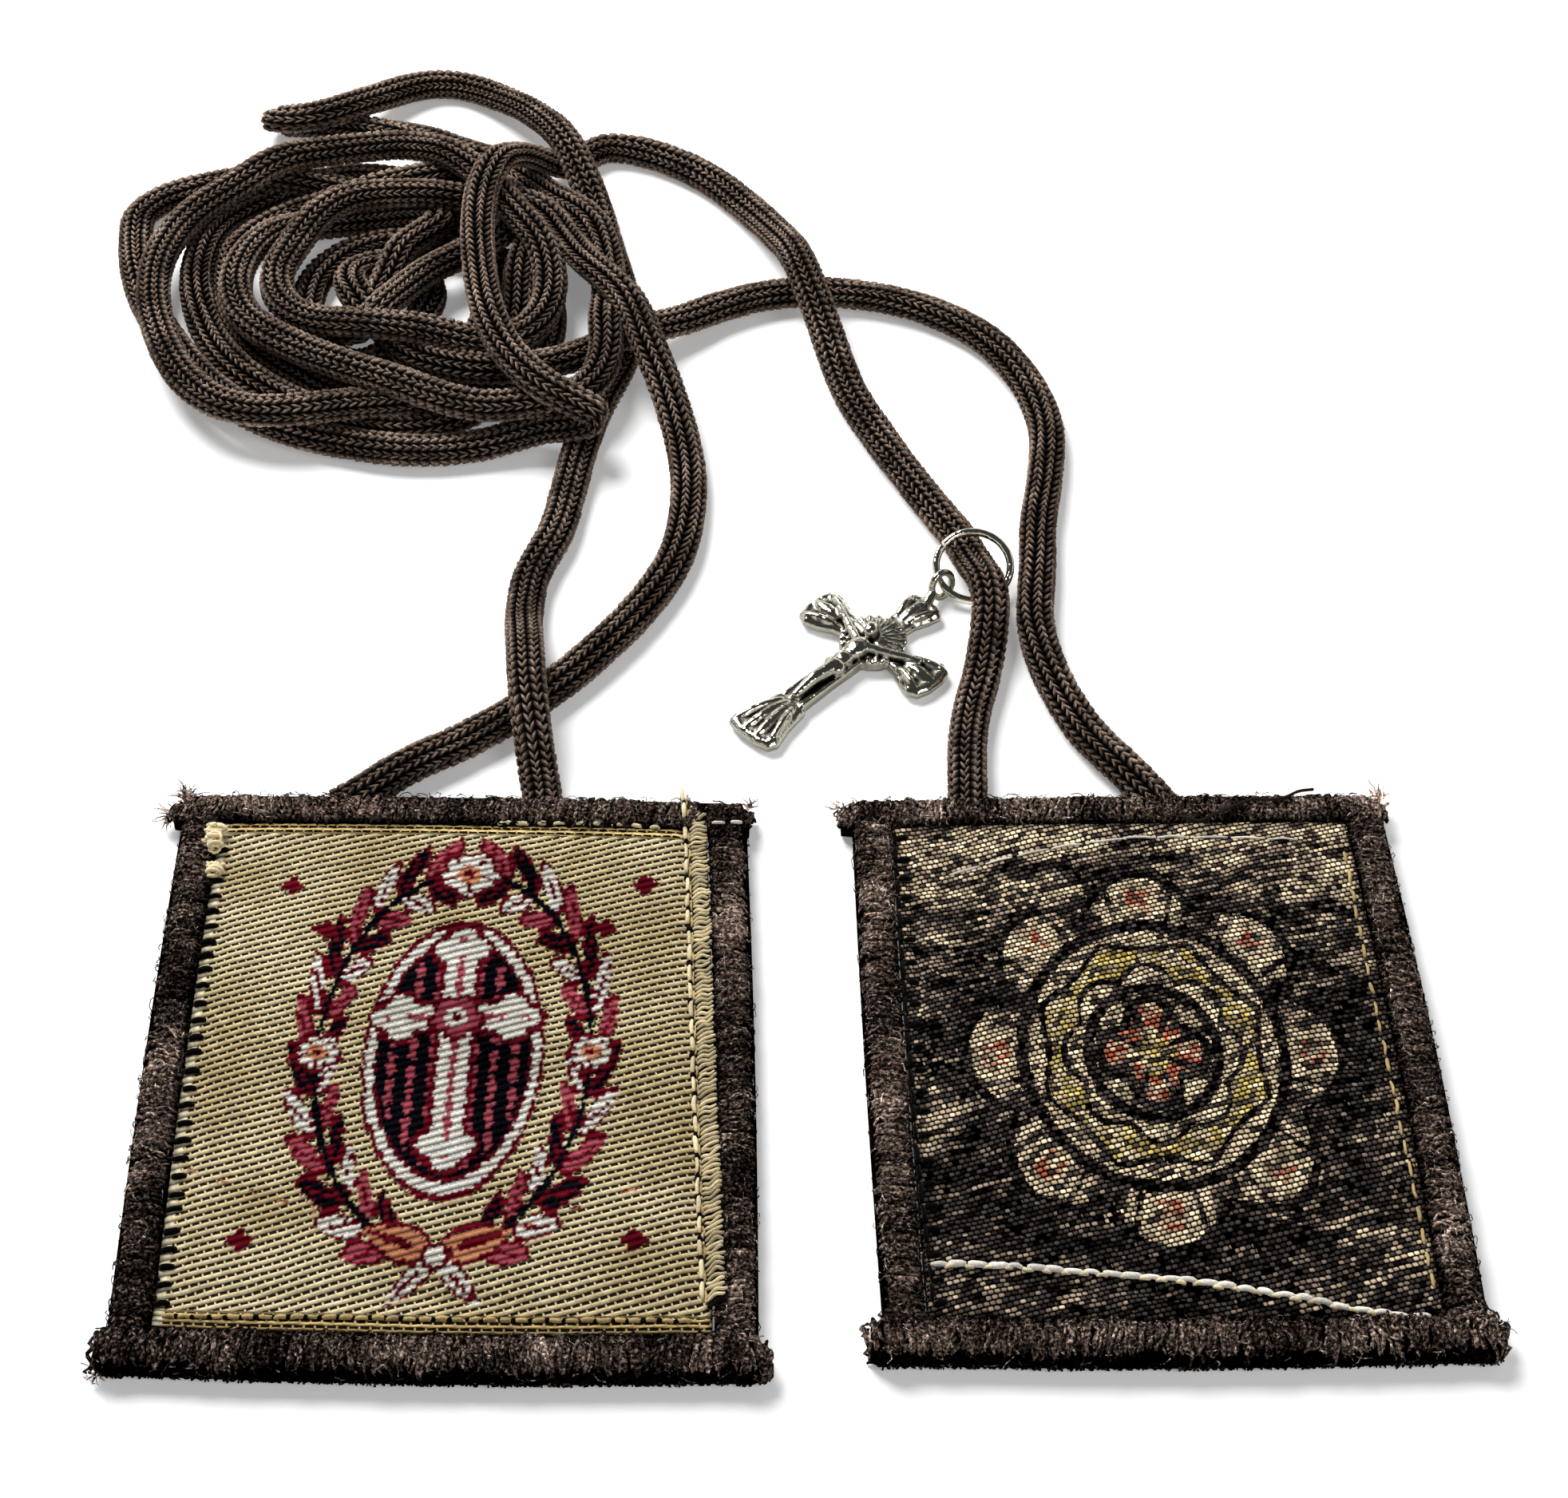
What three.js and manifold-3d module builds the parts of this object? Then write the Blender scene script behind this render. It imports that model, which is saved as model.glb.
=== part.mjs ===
// Devotional scapular laid flat: two small cloth panels with overcast edges, the two knitted
// cords that join them, gathered in a hank behind, and a crucifix on a jump ring on one cord.
// Millimetres, +Z up. The panels lie on z = 0 and the origin is the middle of the pair.
import * as THREE from "three";
import { mergeVertices } from "three/addons/utils/BufferGeometryUtils.js";
import Module from "manifold-3d";

const wasm = await Module();
wasm.setup();

const seamGap = 0.3; // between neighbouring pieces
const edgeWidth = 4.0; // of the overcast edging
const edgeHeight = 3.0;
const backThickness = 1.2; // wool cloth behind the label
const labelThickness = 1.0; // woven label
const puffHeight = 0.45; // rise of the cloth in the middle of a panel

const cordWidth = 3.6; // a flattened round knit
const cordHeight = 2.6;
const hankHeight = 5.6; // two cords deep
const hankRound = 1.6;

const ringRadius = 3.6; // to the middle of the wire
const ringWire = 0.75;
const ringTilt = 24; // degrees, the far side lies over the cord
const ringCentre = [17.7, 59.7, 2.38];
const ringSplit = { at: 143, opening: 4 }; // degrees round the ring

const crossCentre = [7.9, 50.6, 0.16];
const crossTurn = -44.5; // degrees about Z
const crossPlate = 0.8; // flat metal under the relief
const crossBevel = 0.35;
const eyeRadius = 1.25; // to the middle of the eye's wire
const eyeWire = 0.64;
const eyeCentre = [-0.33, 9.96, 1.43];
const eyeAxis = [0.96, -0.09, 0.26];

// Outer corners of each panel with its edging, how far each side bows out, and how far the
// far and near runs of edging overrun at their two ends.
const panels = {
  panel_a: {
    farLeft: [-54.2, 30.0],
    farRight: [-4.1, 29.0],
    nearLeft: [-52.8, -29.1],
    nearRight: [-2.6, -29.83],
    bow: { far: 0.3, near: 0.5, left: 0.3, right: 0.3 },
    overrun: { far: [1.2, 0.7], near: [1.1, 0.9] },
  },
  panel_b: {
    farLeft: [5.6, 29.3],
    farRight: [52.7, 29.9],
    nearLeft: [7.4, -28.3],
    nearRight: [54.1, -28.0],
    bow: { far: 0.3, near: 0.4, left: 0.2, right: 0.5 },
    overrun: { far: [1.4, 0.6], near: [1.5, 1.25] },
  },
};

// Half of the edging's section, across as a share of the half width and up as a share of
// the height. The underside is flat.
const edgeSection = [
  { across: 0.9, up: 0.0 },
  { across: 1.0, up: 0.12 },
  { across: 1.0, up: 0.5 },
  { across: 0.8, up: 0.84 },
  { across: 0.35, up: 1.0 },
];

// Routes of the cords' middle lines, x, y and height.
const routes = {
  cord_b_left: [
    [16.0, 30.1, 1.6],
    [16.1, 33.5, 1.6],
    [16.3, 37.5, 1.4],
    [16.9, 41.5, 1.4],
    [18.0, 46.0, 1.5],
    [18.7, 50.0, 2.2],
    [19.1, 53.5, 3.1],
    [18.8, 56.3, 3.4],
    [18.3, 58.8, 2.6],
    [17.7, 61.3, 1.6],
    [17.0, 63.8, 1.4],
    [15.3, 67.1, 1.4],
    [12.3, 73.0, 1.4],
    [9.0, 79.9, 1.4],
    [6.0, 87.0, 1.6],
    [3.9, 94.0, 3.2],
    [2.3, 99.5, 4.6],
    [0.6, 105.5, 4.6],
    [-1.4, 111.5, 2.8],
    [-4.4, 117.6, 1.5],
    [-9.6, 123.9, 1.4],
    [-16.8, 128.6, 1.4],
    [-21.6, 129.7, 1.4],
    [-24.6, 129.2, 1.4],
  ],
  cord_b_right: [
    [32.0, 31.2, 1.6],
    [30.3, 33.9, 1.6],
    [27.6, 38.0, 1.4],
    [25.6, 42.5, 1.4],
    [24.1, 47.5, 1.4],
    [23.4, 52.5, 1.4],
    [23.6, 56.5, 1.4],
    [24.0, 60.5, 1.4],
    [24.4, 66.8, 1.4],
    [25.4, 73.0, 1.4],
    [26.0, 81.2, 1.4],
    [24.2, 88.7, 1.4],
    [20.2, 95.6, 1.4],
    [13.6, 100.6, 1.4],
    [6.1, 102.9, 1.4],
    [-1.5, 102.7, 1.4],
    [-7.5, 100.3, 1.4],
    [-11.6, 97.6, 1.4],
  ],
  cord_a_right: [
    [-22.3, 30.3, 1.6],
    [-22.7, 32.5, 1.6],
    [-23.5, 37.0, 3.7],
    [-24.0, 40.5, 4.7],
    [-24.5, 45.5, 4.7],
    [-25.0, 50.0, 3.0],
    [-25.3, 54.5, 1.5],
    [-24.9, 59.5, 1.4],
    [-22.9, 65.7, 1.4],
    [-21.9, 72.7, 1.4],
    [-21.2, 78.7, 1.4],
    [-20.2, 84.0, 1.4],
    [-18.7, 90.0, 1.4],
    [-17.7, 95.0, 1.4],
  ],
  cord_top: [
    [-17.5, 96.2, 1.4],
    [-17.7, 100.5, 1.4],
    [-18.1, 104.5, 1.4],
    [-18.8, 110.0, 1.4],
    [-19.9, 116.5, 1.6],
    [-21.9, 122.4, 3.0],
    [-25.0, 129.3, 4.6],
    [-29.0, 134.8, 4.3],
    [-33.5, 138.8, 2.6],
    [-38.5, 140.9, 1.5],
    [-43.0, 141.2, 1.6],
    [-47.5, 139.0, 3.0],
    [-50.5, 136.2, 4.6],
    [-52.9, 134.4, 5.5],
  ],
  cord_fold: [
    [-35.6, 128.2, 1.4],
    [-39.0, 129.8, 1.4],
    [-43.0, 131.0, 1.4],
    [-48.0, 132.0, 1.4],
    [-52.5, 132.4, 1.4],
    [-55.6, 132.5, 1.7],
    [-57.4, 132.6, 2.9],
    [-57.2, 132.8, 4.6],
    [-55.5, 133.1, 5.6],
    [-53.5, 134.0, 5.6],
  ],
  cord_a_left: [
    [-37.9, 31.6, 1.6],
    [-34.8, 34.1, 1.6],
    [-30.2, 37.2, 1.4],
    [-25.0, 41.4, 1.4],
    [-20.1, 46.6, 1.4],
    [-14.6, 54.3, 1.4],
    [-11.0, 62.3, 1.4],
    [-10.0, 71.5, 1.4],
    [-10.9, 79.0, 1.8],
    [-13.0, 85.5, 3.7],
    [-15.4, 91.0, 4.6],
    [-18.3, 98.0, 4.6],
    [-21.0, 104.0, 4.2],
    [-23.6, 110.4, 3.2],
    [-25.7, 114.2, 3.0],
  ],
  cord_loop: [
    [-27.6, 85.4, 7.6],
    [-30.4, 90.4, 7.6],
    [-32.9, 96.3, 7.6],
    [-34.2, 104.1, 7.6],
    [-34.9, 112.0, 7.6],
    [-34.6, 117.4, 7.6],
    [-32.6, 120.9, 7.3],
    [-29.6, 123.2, 5.4],
    [-27.9, 125.4, 2.9],
    [-26.9, 127.9, 1.7],
  ],
};
const cordSteps = {
  cord_b_left: 24,
  cord_b_right: 10,
  cord_a_right: 9,
  cord_top: 12,
  cord_fold: 8,
  cord_a_left: 10,
  cord_loop: 9,
};

// Outline of the hank from above and of the bare space in its middle.
const hankOutline = [
  [-72.0, 111.5],
  [-70.6, 104.0],
  [-68.8, 96.5],
  [-66.0, 89.5],
  [-61.5, 83.0],
  [-56.0, 79.4],
  [-49.5, 78.4],
  [-42.5, 77.6],
  [-35.0, 76.9],
  [-28.5, 78.2],
  [-23.6, 81.2],
  [-23.2, 86.0],
  [-24.2, 93.0],
  [-23.8, 100.0],
  [-26.2, 106.5],
  [-28.4, 111.5],
  [-30.2, 117.0],
  [-34.4, 122.6],
  [-41.0, 126.2],
  [-48.0, 126.4],
  [-55.5, 123.4],
  [-64.5, 121.9],
  [-70.4, 118.6],
];
const hankMiddle = [
  [-51.0, 106.5],
  [-49.4, 111.0],
  [-46.0, 112.6],
  [-43.2, 110.0],
  [-43.4, 104.5],
  [-45.0, 99.8],
  [-48.2, 98.4],
  [-50.6, 101.4],
];

// Half widths along each arm of the crucifix, measured out from the crossing.
const arms = {
  top: [
    { out: 2.7, half: 1.3 },
    { out: 4.3, half: 1.4 },
    { out: 5.8, half: 1.95 },
    { out: 7.0, half: 2.2 },
    { out: 7.6, half: 1.7 },
    { out: 7.9, half: 0.8 },
  ],
  side: [
    { out: 2.7, half: 1.3 },
    { out: 4.0, half: 1.5 },
    { out: 5.3, half: 2.2 },
    { out: 6.7, half: 2.6 },
    { out: 7.7, half: 2.1 },
    { out: 8.1, half: 0.9 },
  ],
  foot: [
    { out: 3.0, half: 1.35 },
    { out: 7.0, half: 1.3 },
    { out: 10.6, half: 1.4 },
    { out: 11.2, half: 1.8 },
    { out: 13.6, half: 2.2 },
    { out: 15.8, half: 2.9 },
    { out: 16.7, half: 2.5 },
    { out: 17.1, half: 1.1 },
  ],
};

const materials = {
  wool: new THREE.MeshStandardMaterial({ color: "#4a372c", roughness: 0.95 }),
  goldWeave: new THREE.MeshStandardMaterial({ color: "#a98f5c", roughness: 0.85 }),
  darkWeave: new THREE.MeshStandardMaterial({ color: "#3a2f29", roughness: 0.9 }),
  edging: new THREE.MeshStandardMaterial({ color: "#5b4130", roughness: 0.95 }),
  cord: new THREE.MeshStandardMaterial({ color: "#4b3a30", roughness: 0.9 }),
  silver: new THREE.MeshStandardMaterial({ color: "#c9c7bf", roughness: 0.25, metalness: 1 }),
};

// A closed body from points and faces, turned right way out.
function closedBody(points, faces) {
  let volume = 0;
  const a = new THREE.Vector3();
  const b = new THREE.Vector3();
  const c = new THREE.Vector3();
  for (const [i, j, k] of faces) {
    a.fromArray(points[i]);
    b.fromArray(points[j]);
    c.fromArray(points[k]);
    volume += a.dot(b.cross(c));
  }
  const index = volume < 0 ? faces.flatMap(([i, j, k]) => [i, k, j]) : faces.flat();
  const body = new THREE.BufferGeometry();
  body.setAttribute("position", new THREE.Float32BufferAttribute(points.flat(), 3));
  body.setIndex(index);
  body.computeVertexNormals();
  return body;
}

// A body through a row of like sections, with a flat cap at each end.
function loft(sections) {
  const count = sections[0].length;
  const faces = [];
  for (let i = 0; i + 1 < sections.length; i++) {
    for (let j = 0; j < count; j++) {
      const a = i * count + j;
      const b = i * count + ((j + 1) % count);
      faces.push([a, b, b + count], [a, b + count, a + count]);
    }
  }
  const last = (sections.length - 1) * count;
  for (let j = 1; j + 1 < count; j++) {
    faces.push([0, j + 1, j], [last, last + j, last + j + 1]);
  }
  return closedBody(sections.flat(), faces);
}

// A point of a panel's plan: s runs from left to right and t from near to far.
function planPoint(panel, s, t) {
  const { farLeft, farRight, nearLeft, nearRight, bow } = panel;
  const mix = (axis) =>
    (1 - t) * ((1 - s) * nearLeft[axis] + s * nearRight[axis]) +
    t * ((1 - s) * farLeft[axis] + s * farRight[axis]);
  const across = Math.sin(Math.PI * s);
  const along = Math.sin(Math.PI * t);
  const x = mix(0) + along * (s * bow.right - (1 - s) * bow.left);
  const y = mix(1) + across * (t * bow.far - (1 - t) * bow.near);
  return [x, y];
}

function planSize(panel) {
  return {
    width: panel.farRight[0] - panel.farLeft[0],
    height: panel.farLeft[1] - panel.nearLeft[1],
  };
}

// How far the cloth stands up at a place of the panel: flat at its edge, with a few soft waves.
function puff(s, t) {
  const rise = Math.sqrt(Math.max(0, Math.sin(Math.PI * s) * Math.sin(Math.PI * t)));
  return puffHeight * rise * (1 + 0.2 * Math.sin(7 * s + 5 * t));
}

// A wall of cloth inside the edging, between two heights given for each place.
function clothWall(panel, bottomAt, topAt) {
  const columns = 16;
  const rows = 19;
  const { width, height } = planSize(panel);
  const inset = edgeWidth + seamGap;
  const points = [];
  for (const heightAt of [bottomAt, topAt]) {
    for (let row = 0; row <= rows; row++) {
      for (let column = 0; column <= columns; column++) {
        const s = column / columns;
        const t = row / rows;
        const inS = (inset + s * (width - 2 * inset)) / width;
        const inT = (inset + t * (height - 2 * inset)) / height;
        points.push([...planPoint(panel, inS, inT), heightAt(s, t)]);
      }
    }
  }
  const line = columns + 1;
  const layer = line * (rows + 1);
  const faces = [];
  const quad = (a, b, c, d) => faces.push([a, b, c], [a, c, d]);
  for (let row = 0; row < rows; row++) {
    for (let column = 0; column < columns; column++) {
      const a = row * line + column;
      quad(a, a + line, a + line + 1, a + 1);
      quad(layer + a, layer + a + 1, layer + a + line + 1, layer + a + line);
    }
  }
  for (let column = 0; column < columns; column++) {
    const far = rows * line + column;
    quad(column, column + 1, layer + column + 1, layer + column);
    quad(far + 1, far, layer + far, layer + far + 1);
  }
  for (let row = 0; row < rows; row++) {
    const left = row * line;
    const right = left + columns;
    quad(left + line, left, layer + left, layer + left + line);
    quad(right, right + line, layer + right + line, layer + right);
  }
  return closedBody(points, faces);
}

function backCloth(panel) {
  return clothWall(
    panel,
    () => 0,
    (s, t) => backThickness + puff(s, t),
  );
}

// The label follows the cloth under it, one seam gap higher.
function labelCloth(panel) {
  const under = backThickness + seamGap;
  return clothWall(
    panel,
    (s, t) => under + puff(s, t),
    (s, t) => under + labelThickness + puff(s, t),
  );
}

// One run of edging: a rounded bar, narrower at both ends, that may run past the corner.
function edgeRun(panel, side) {
  const { width, height } = planSize(panel);
  const acrossPanel = side === "far" || side === "near";
  const length = acrossPanel ? width : height;
  const overrun = acrossPanel ? panel.overrun[side] : [0, 0];
  const start = acrossPanel ? -overrun[0] : edgeWidth + seamGap;
  const end = acrossPanel ? length + overrun[1] : length - edgeWidth - seamGap;
  const middle = edgeWidth / 2 / (acrossPanel ? height : width);
  const place = {
    far: (along) => planPoint(panel, along, 1 - middle),
    near: (along) => planPoint(panel, along, middle),
    left: (along) => planPoint(panel, middle, along),
    right: (along) => planPoint(panel, 1 - middle, along),
  }[side];
  const steps = 18;
  const sections = [];
  for (let i = 0; i <= steps; i++) {
    const along = start + ((end - start) * i) / steps;
    const [x, y] = place(along / length);
    const [nextX, nextY] = place((along + 0.5) / length);
    const run = new THREE.Vector2(nextX - x, nextY - y).normalize();
    const fromEnd = Math.min(i, steps - i);
    const full = acrossPanel ? [0.62, 0.95, 1][Math.min(fromEnd, 2)] : 1;
    const lump = full * (1 - 0.05 * Math.abs(Math.sin(i * 2.4)));
    const half = ({ across, up }, sign) => {
      const off = (sign * across * edgeWidth * full) / 2;
      return [x - run.y * off, y + run.x * off, up * edgeHeight * lump];
    };
    const right = edgeSection.map((row) => half(row, 1));
    const left = edgeSection.map((row) => half(row, -1)).reverse();
    sections.push([...right, ...left]);
  }
  return loft(sections);
}

// An eight-sided section with flats above and below, high by wide.
function ovalSection(high, wide) {
  const points = [];
  const grow = 1 / Math.cos(Math.PI / 8);
  for (let i = 0; i < 8; i++) {
    const turn = ((i + 0.5) * Math.PI) / 4;
    points.push(
      new THREE.Vector2((Math.cos(turn) * high * grow) / 2, (Math.sin(turn) * wide * grow) / 2),
    );
  }
  return new THREE.Shape(points);
}

function tube(route, section, steps) {
  const stops = route.map((stop) => new THREE.Vector3(...stop));
  const extrudePath = new THREE.CatmullRomCurve3(stops, false, "centripetal");
  return new THREE.ExtrudeGeometry(section, { steps, extrudePath });
}

// The hank: the turns of both cords as one rounded body with its bare middle left open.
function hankBody() {
  const smooth = (outline, count) => {
    const stops = outline.map(([x, y]) => new THREE.Vector3(x, y, 0));
    const round = new THREE.CatmullRomCurve3(stops, true, "centripetal");
    return round.getSpacedPoints(count).slice(0, count).map((p) => new THREE.Vector2(p.x, p.y));
  };
  const plan = new THREE.Shape(smooth(hankOutline, 44));
  plan.holes.push(new THREE.Path(smooth(hankMiddle, 16)));
  const body = new THREE.ExtrudeGeometry(plan, {
    depth: hankHeight - 2 * hankRound,
    bevelThickness: hankRound,
    bevelSize: hankRound,
    bevelOffset: -hankRound,
    bevelSegments: 3,
  });
  return body.translate(0, 0, hankRound + 0.1);
}

// The jump ring: round wire bent to a circle with its two ends almost meeting.
function ringBody() {
  const { at, opening } = ringSplit;
  const count = 30;
  const route = [];
  for (let i = 0; i <= count; i++) {
    const turn = THREE.MathUtils.degToRad(at + opening / 2 + ((360 - opening) * i) / count);
    route.push([ringRadius * Math.cos(turn), ringRadius * Math.sin(turn), 0]);
  }
  return tube(route, ovalSection(ringWire, ringWire), 36);
}

function solidOf(body) {
  const bare = body.clone();
  bare.deleteAttribute("normal");
  bare.deleteAttribute("uv");
  const merged = mergeVertices(bare, 1e-4);
  const mesh = new wasm.Mesh({
    numProp: 3,
    vertProperties: new Float32Array(merged.attributes.position.array),
    triVerts: new Uint32Array(merged.index.array),
  });
  return new wasm.Manifold(mesh);
}

function fused(bodies) {
  const whole = bodies.map(solidOf).reduce((all, next) => all.add(next));
  const { vertProperties, triVerts } = whole.getMesh();
  const body = new THREE.BufferGeometry();
  body.setAttribute("position", new THREE.BufferAttribute(vertProperties, 3));
  body.setIndex(new THREE.BufferAttribute(triVerts, 1));
  body.computeVertexNormals();
  return body;
}

// An egg-shaped lump lying in the crucifix's plane, turned by an angle from its long axis.
function lump(x, y, z, sizes, degrees = 0) {
  const body = new THREE.SphereGeometry(1, 10, 7);
  body.scale(...sizes);
  body.rotateZ(THREE.MathUtils.degToRad(degrees));
  return body.translate(x, y, z);
}

// A tapering limb between two places.
function limb(from, to, thick, thin) {
  const start = new THREE.Vector3(...from);
  const run = new THREE.Vector3(...to).sub(start);
  const body = new THREE.CylinderGeometry(thin, thick, run.length(), 8);
  body.translate(0, run.length() / 2, 0);
  const turn = new THREE.Quaternion();
  turn.setFromUnitVectors(new THREE.Vector3(0, 1, 0), run.clone().normalize());
  body.applyQuaternion(turn);
  return body.translate(...from);
}

function crossPlateBody() {
  const points = [];
  const place = {
    top: (out, half) => [half, out],
    left: (out, half) => [-out, half],
    foot: (out, half) => [-half, -out],
    right: (out, half) => [out, -half],
  };
  const rows = { top: arms.top, left: arms.side, foot: arms.foot, right: arms.side };
  for (const arm of ["top", "left", "foot", "right"]) {
    rows[arm].forEach(({ out, half }) => points.push(place[arm](out, half)));
    [...rows[arm]].reverse().forEach(({ out, half }) => points.push(place[arm](out, -half)));
  }
  const outline = new THREE.Shape(points.map(([x, y]) => new THREE.Vector2(x, y)));
  const body = new THREE.ExtrudeGeometry(outline, {
    depth: crossPlate - crossBevel,
    bevelThickness: crossBevel,
    bevelSize: crossBevel,
    bevelOffset: -crossBevel,
    bevelSegments: 1,
  });
  return body.translate(0, 0, crossBevel);
}

// The disc of rays behind the crossing: its rim steps up and down from ray to ray.
function rayDisc() {
  const rays = 22;
  const points = [[0, 0, 0.2], [0, 0, 1.75]];
  const faces = [];
  for (let i = 0; i < 2 * rays; i++) {
    const turn = (Math.PI * i) / rays;
    const high = i % 2 ? 1.45 : 1.15;
    const [x, y] = [Math.cos(turn), Math.sin(turn)];
    points.push([3.2 * x, 3.2 * y, 0.2], [3.2 * x, 3.2 * y, high]);
  }
  for (let i = 0; i < 2 * rays; i++) {
    const a = 2 + 2 * i;
    const b = 2 + 2 * ((i + 1) % (2 * rays));
    faces.push([0, b, a], [1, a + 1, b + 1], [a, b, b + 1], [a, b + 1, a + 1]);
  }
  return closedBody(points, faces);
}

// The fan of petals at the end of an arm, about the arm's own direction.
function petals(degrees, inner, outer, spread, count) {
  const bodies = [];
  const middle = (inner + outer) / 2;
  const length = (outer - inner) / 2;
  for (let i = 0; i < count; i++) {
    const share = (2 * i) / (count - 1) - 1;
    const fan = share * 17;
    const size = 0.46 + 0.5 * (1 - Math.abs(share)) * (2 / count);
    const petal = lump(0, 0, 0, [size, length * (1 - 0.08 * Math.abs(share)), 0.55], -fan);
    petal.translate(share * spread, middle - 0.2 * Math.abs(share), crossPlate + 0.25);
    petal.rotateZ(THREE.MathUtils.degToRad(degrees));
    bodies.push(petal);
  }
  return bodies;
}

// A plain figure: head bowed to one side, arms along the crosspiece, legs together.
function figureBodies() {
  return [
    lump(-0.45, 0.15, 2.1, [0.72, 0.86, 0.7], 20),
    lump(0, -2.2, 1.75, [1.15, 1.5, 0.75]),
    lump(0, -4.1, 1.6, [0.95, 1.3, 0.7]),
    lump(0.05, -5.4, 1.6, [1.2, 1.05, 0.75], 12),
    limb([0.0, -5.6, 1.6], [-0.15, -8.2, 1.75], 0.8, 0.62),
    limb([-0.15, -7.9, 1.75], [0.0, -10.7, 1.35], 0.66, 0.4),
    limb([-0.7, -1.5, 1.75], [-5.4, 0.9, 1.45], 0.5, 0.3),
    limb([0.7, -1.5, 1.75], [5.4, 0.9, 1.45], 0.5, 0.3),
  ];
}

function eyeBodies() {
  const loop = new THREE.TorusGeometry(eyeRadius, eyeWire / 2, 8, 22);
  const turn = new THREE.Quaternion();
  const axis = new THREE.Vector3(...eyeAxis).normalize();
  turn.setFromUnitVectors(new THREE.Vector3(0, 0, 1), axis);
  loop.applyQuaternion(turn).translate(...eyeCentre);
  const neck = limb([0, 7.3, 0.7], [eyeCentre[0], eyeCentre[1] - eyeRadius, 1.3], 0.62, 0.45);
  return [loop, neck];
}

function crucifixBody() {
  const rims = [-1, 1].map((side) =>
    limb([side * 1.02, -3.0, 0.95], [side * 1.08, -10.8, 0.95], 0.3, 0.3),
  );
  return fused([
    crossPlateBody(),
    rayDisc(),
    ...rims,
    ...petals(0, 3.9, 7.5, 1.05, 3),
    ...petals(90, 3.8, 7.7, 1.3, 3),
    ...petals(-90, 3.8, 7.7, 1.3, 3),
    ...petals(180, 11.0, 16.8, 1.45, 4),
    ...figureBodies(),
    ...eyeBodies(),
  ]);
}

const scapular = new THREE.Group();

function addPiece(name, body, material) {
  const piece = new THREE.Mesh(body, material);
  piece.name = name;
  scapular.add(piece);
  return piece;
}

for (const [name, panel] of Object.entries(panels)) {
  const weave = name === "panel_a" ? materials.goldWeave : materials.darkWeave;
  addPiece(name + "_back", backCloth(panel), materials.wool);
  addPiece(name + "_label", labelCloth(panel), weave);
  for (const side of ["far", "near", "left", "right"]) {
    addPiece(name + "_edge_" + side, edgeRun(panel, side), materials.edging);
  }
}

for (const [name, route] of Object.entries(routes)) {
  const section = ovalSection(cordHeight, cordWidth);
  addPiece(name, tube(route, section, cordSteps[name]), materials.cord);
}
addPiece("hank", hankBody(), materials.cord);

const ring = addPiece("jump_ring", ringBody(), materials.silver);
ring.position.set(...ringCentre);
ring.rotation.x = THREE.MathUtils.degToRad(ringTilt);

const crucifix = addPiece("crucifix", crucifixBody(), materials.silver);
crucifix.position.set(...crossCentre);
crucifix.rotation.z = THREE.MathUtils.degToRad(crossTurn);

export default scapular;
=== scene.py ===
import bmesh
import bpy
import math
import numpy as np
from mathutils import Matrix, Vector


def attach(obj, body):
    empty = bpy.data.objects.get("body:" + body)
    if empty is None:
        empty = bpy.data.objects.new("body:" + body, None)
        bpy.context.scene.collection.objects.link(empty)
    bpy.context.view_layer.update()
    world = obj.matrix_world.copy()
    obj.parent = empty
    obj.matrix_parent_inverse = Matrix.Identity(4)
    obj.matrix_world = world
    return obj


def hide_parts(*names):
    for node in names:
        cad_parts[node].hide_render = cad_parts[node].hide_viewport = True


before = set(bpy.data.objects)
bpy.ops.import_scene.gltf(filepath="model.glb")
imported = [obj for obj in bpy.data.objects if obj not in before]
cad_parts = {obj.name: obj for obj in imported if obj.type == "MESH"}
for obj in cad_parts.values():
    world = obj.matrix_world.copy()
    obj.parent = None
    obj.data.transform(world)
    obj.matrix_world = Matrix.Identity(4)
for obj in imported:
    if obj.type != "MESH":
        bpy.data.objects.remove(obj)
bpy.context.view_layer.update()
mm = 0.001
scene = bpy.context.scene
print("frame loaded")


# Small helpers

# sRGB hex to linear numbers
def linear(hexColour):
    raw = np.array([int(hexColour[i:i + 2], 16) for i in (1, 3, 5)]) / 255
    return np.where(raw <= 0.04045, raw / 12.92, ((raw + 0.055) / 1.055) ** 2.4)


def rgba(hexColour):
    return (*linear(hexColour).tolist(), 1.0)


def smooth(low, high, x):
    t = np.clip((x - low) / (high - low), 0, 1)
    return t * t * (3 - 2 * t)


def mix(a, b, share):
    return a * (1 - share) + b * share


# A repeatable random number from 0 to 1 for each pair of whole numbers.
def scatter(i, j, seed):
    v = np.sin(i * 12.9898 + j * 78.233 + seed * 37.719) * 43758.5453
    return v - np.floor(v)


# Soft noise from -1 to 1 on the plane: random values at whole steps, blended between them.
def softNoise(x, y, seed):
    i, j = np.floor(x), np.floor(y)
    u, v = x - i, y - j
    u, v = u * u * (3 - 2 * u), v * v * (3 - 2 * v)
    far = mix(scatter(i, j, seed), scatter(i + 1, j, seed), u)
    near = mix(scatter(i, j + 1, seed), scatter(i + 1, j + 1, seed), u)
    return 2 * mix(far, near, v) - 1


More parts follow.
